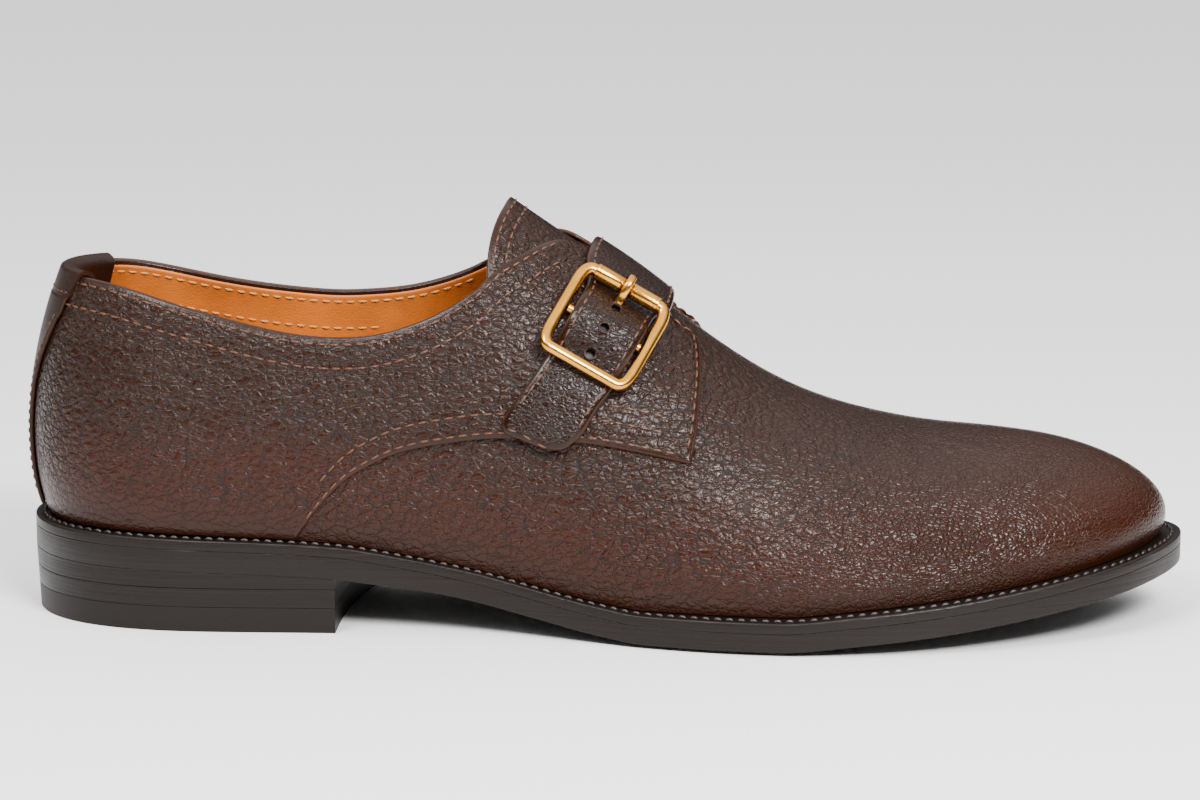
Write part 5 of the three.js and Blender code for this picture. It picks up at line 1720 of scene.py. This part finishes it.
def soft_light(name, place, target, size, power):
    """A rectangular softbox with its size in metres and power in watts."""
    data = bpy.data.lights.new(name, "AREA")
    data.shape = "RECTANGLE"
    data.size, data.size_y = size
    data.energy = power
    made = bpy.data.objects.new(name, data)
    made.location = place
    aimed(made, target)
    bpy.context.scene.collection.objects.link(made)


def make_stage():
    """The floor, the sky, two softboxes and the camera."""
    scene = bpy.context.scene
    floor_material, tree, shader = new_material("floor_paper")
    fill(tree, shader, {"Base Color": (0.9, 0.9, 0.9, 1.0), "Roughness": 0.6})
    mesh = bpy.data.meshes.new("floor")
    mesh.from_pydata([(-6, -6, FLOOR), (6, -6, FLOOR), (6, 6, FLOOR), (-6, 6, FLOOR)], [], [(0, 1, 2, 3)])
    mesh.materials.append(floor_material)
    floor = bpy.data.objects.new("floor", mesh)
    scene.collection.objects.link(floor)
    world = bpy.data.worlds.new("studio")
    scene.world = world
    world.use_nodes = True
    sky = world.node_tree
    direction = add_node(sky, "TexCoord", out="Generated")
    height = add_node(sky, "SeparateXYZ", (direction,), out=2)
    brightness = add_node(sky, "MapRange", (height, 0.25, 0.95, 0.08, 2.3), interpolation_type=SOFT)
    fill(sky, sky.nodes["Background"], {"Color": (1.0, 1.0, 1.0, 1.0), "Strength": brightness})
    soft_light("key_softbox", (-0.45, -0.7, 0.95), (0, 0, 0.05), (0.5, 0.3), 14)
    soft_light("toe_softbox", (0.42, -0.8, 0.72), (0.08, 0, 0.03), (0.42, 0.3), 26)
    camera = bpy.data.objects.new("camera", bpy.data.cameras.new("camera"))
    camera.data.lens = LENS
    camera.data.sensor_width = 36.0
    camera.data.sensor_fit = "HORIZONTAL"
    camera.location = in_metres(CAMERA_PLACE)
    aimed(camera, in_metres(CAMERA_TARGET))
    scene.collection.objects.link(camera)
    scene.camera = camera


def length_setting(name, words, default, low, high):
    """A length that the panel shows in the scene's unit, given here in millimetres."""
    return bpy.props.FloatProperty(name=name, description=words, default=default / 1000, min=low / 1000,
                                   max=high / 1000, subtype="DISTANCE", unit="LENGTH")


class ShoeSizes(bpy.types.PropertyGroup):
    """Sizes of the grain and the stitches."""
    pebble: length_setting("Pebble", "Width of one pebble of the grain", 2.1, 0.8, 6)
    stitch_length: length_setting("Stitch", "Length of one stitch", 2.5, 1, 5)
    stitch_space: length_setting("Stitch space", "Space between two stitches", 0.75, 0.2, 3)
    thread_radius: length_setting("Thread", "Radius of the thread", 0.29, 0.1, 0.8)


def colour_setting(name, words, code):
    """A colour in the panel, given here as an sRGB hex value."""
    return bpy.props.FloatVectorProperty(name=name, description=words, subtype="COLOR", size=3, min=0, max=1,
                                         default=linear(code)[:3])


class ShoeColours(bpy.types.PropertyGroup):
    """Colours of the leathers, the metal and the thread."""
    upper: colour_setting("Upper", "Dark brown of the pebbled calf", "200d04")
    burnish: colour_setting("Burnish", "Reddish brown of the waxed areas", "2c0f04")
    lining: colour_setting("Lining", "Tan of the lining and the footbed", "ad5a16")
    sole: colour_setting("Sole", "Ink of the sole, welt and heel edges", "110a07")
    brass: colour_setting("Buckle", "Brass of the buckle", "d3953c")
    thread: colour_setting("Thread", "Waxed thread on the upper", "553019")


class SHOE_OT_vamp(bpy.types.Operator):
    """Builds the vamp over the toe and the waist"""
    bl_idname = "shoe.vamp"
    bl_label = "Vamp"

    def execute(self, context):
        make_vamp()
        return {"FINISHED"}


class SHOE_OT_quarters(bpy.types.Operator):
    """Builds the outer and the inner quarter with their stitching"""
    bl_idname = "shoe.quarters"
    bl_label = "Quarters"

    def execute(self, context):
        make_quarter(-1, "outer")
        make_quarter(1, "inner")
        return {"FINISHED"}


class SHOE_OT_lining(bpy.types.Operator):
    """Builds the lining and the footbed"""
    bl_idname = "shoe.lining"
    bl_label = "Lining and footbed"

    def execute(self, context):
        make_lining()
        make_footbed()
        return {"FINISHED"}


class SHOE_OT_tongue(bpy.types.Operator):
    """Builds the lined tongue"""
    bl_idname = "shoe.tongue"
    bl_label = "Tongue"

    def execute(self, context):
        make_tongue()
        return {"FINISHED"}


class SHOE_OT_back_trim(bpy.types.Operator):
    """Builds the strip over the back seam and the tab over the collar"""
    bl_idname = "shoe.back_trim"
    bl_label = "Back strip and tab"

    def execute(self, context):
        make_back_trim()
        return {"FINISHED"}


class SHOE_OT_strap(bpy.types.Operator):
    """Builds the strap with its holes and stitching"""
    bl_idname = "shoe.strap"
    bl_label = "Strap"

    def execute(self, context):
        make_strap()
        return {"FINISHED"}


class SHOE_OT_buckle(bpy.types.Operator):
    """Builds the frame, the roller and the prong"""
    bl_idname = "shoe.buckle"
    bl_label = "Buckle"

    def execute(self, context):
        make_buckle()
        return {"FINISHED"}


class SHOE_OT_sole(bpy.types.Operator):
    """Builds the welt, the outsole and the heel"""
    bl_idname = "shoe.sole"
    bl_label = "Sole and heel"

    def execute(self, context):
        make_welt()
        make_outsole()
        make_heel()
        return {"FINISHED"}


class SHOE_OT_stage(bpy.types.Operator):
    """Sets the floor, the lights and the camera"""
    bl_idname = "shoe.stage"
    bl_label = "Stage"

    def execute(self, context):
        make_stage()
        return {"FINISHED"}


OPERATORS = (SHOE_OT_stage, SHOE_OT_sole, SHOE_OT_vamp, SHOE_OT_quarters, SHOE_OT_lining, SHOE_OT_tongue,
             SHOE_OT_back_trim, SHOE_OT_strap, SHOE_OT_buckle)


class SHOE_PT_panel(bpy.types.Panel):
    """Lists the shoe's settings and the steps that build it"""
    bl_idname = "SHOE_PT_panel"
    bl_label = "Monk strap shoe"
    bl_space_type = "VIEW_3D"
    bl_region_type = "UI"
    bl_category = "Shoe"

    def draw(self, context):
        for group in (context.scene.shoe_sizes, context.scene.shoe_colours):
            for key in group.__annotations__:
                self.layout.prop(group, key)
        for operator in OPERATORS:
            self.layout.operator(operator.bl_idname)


CLASSES = (ShoeSizes, ShoeColours, *OPERATORS, SHOE_PT_panel)


def register():
    for kind in CLASSES:
        bpy.utils.register_class(kind)
    bpy.types.Scene.shoe_sizes = bpy.props.PointerProperty(type=ShoeSizes)
    bpy.types.Scene.shoe_colours = bpy.props.PointerProperty(type=ShoeColours)


def unregister():
    del bpy.types.Scene.shoe_colours
    del bpy.types.Scene.shoe_sizes
    for kind in reversed(CLASSES):
        bpy.utils.unregister_class(kind)


def main():
    register()
    for operator in OPERATORS:
        name = operator.bl_idname.split(".")[1]
        getattr(bpy.ops.shoe, name)()


if __name__ == "__main__":
    main()
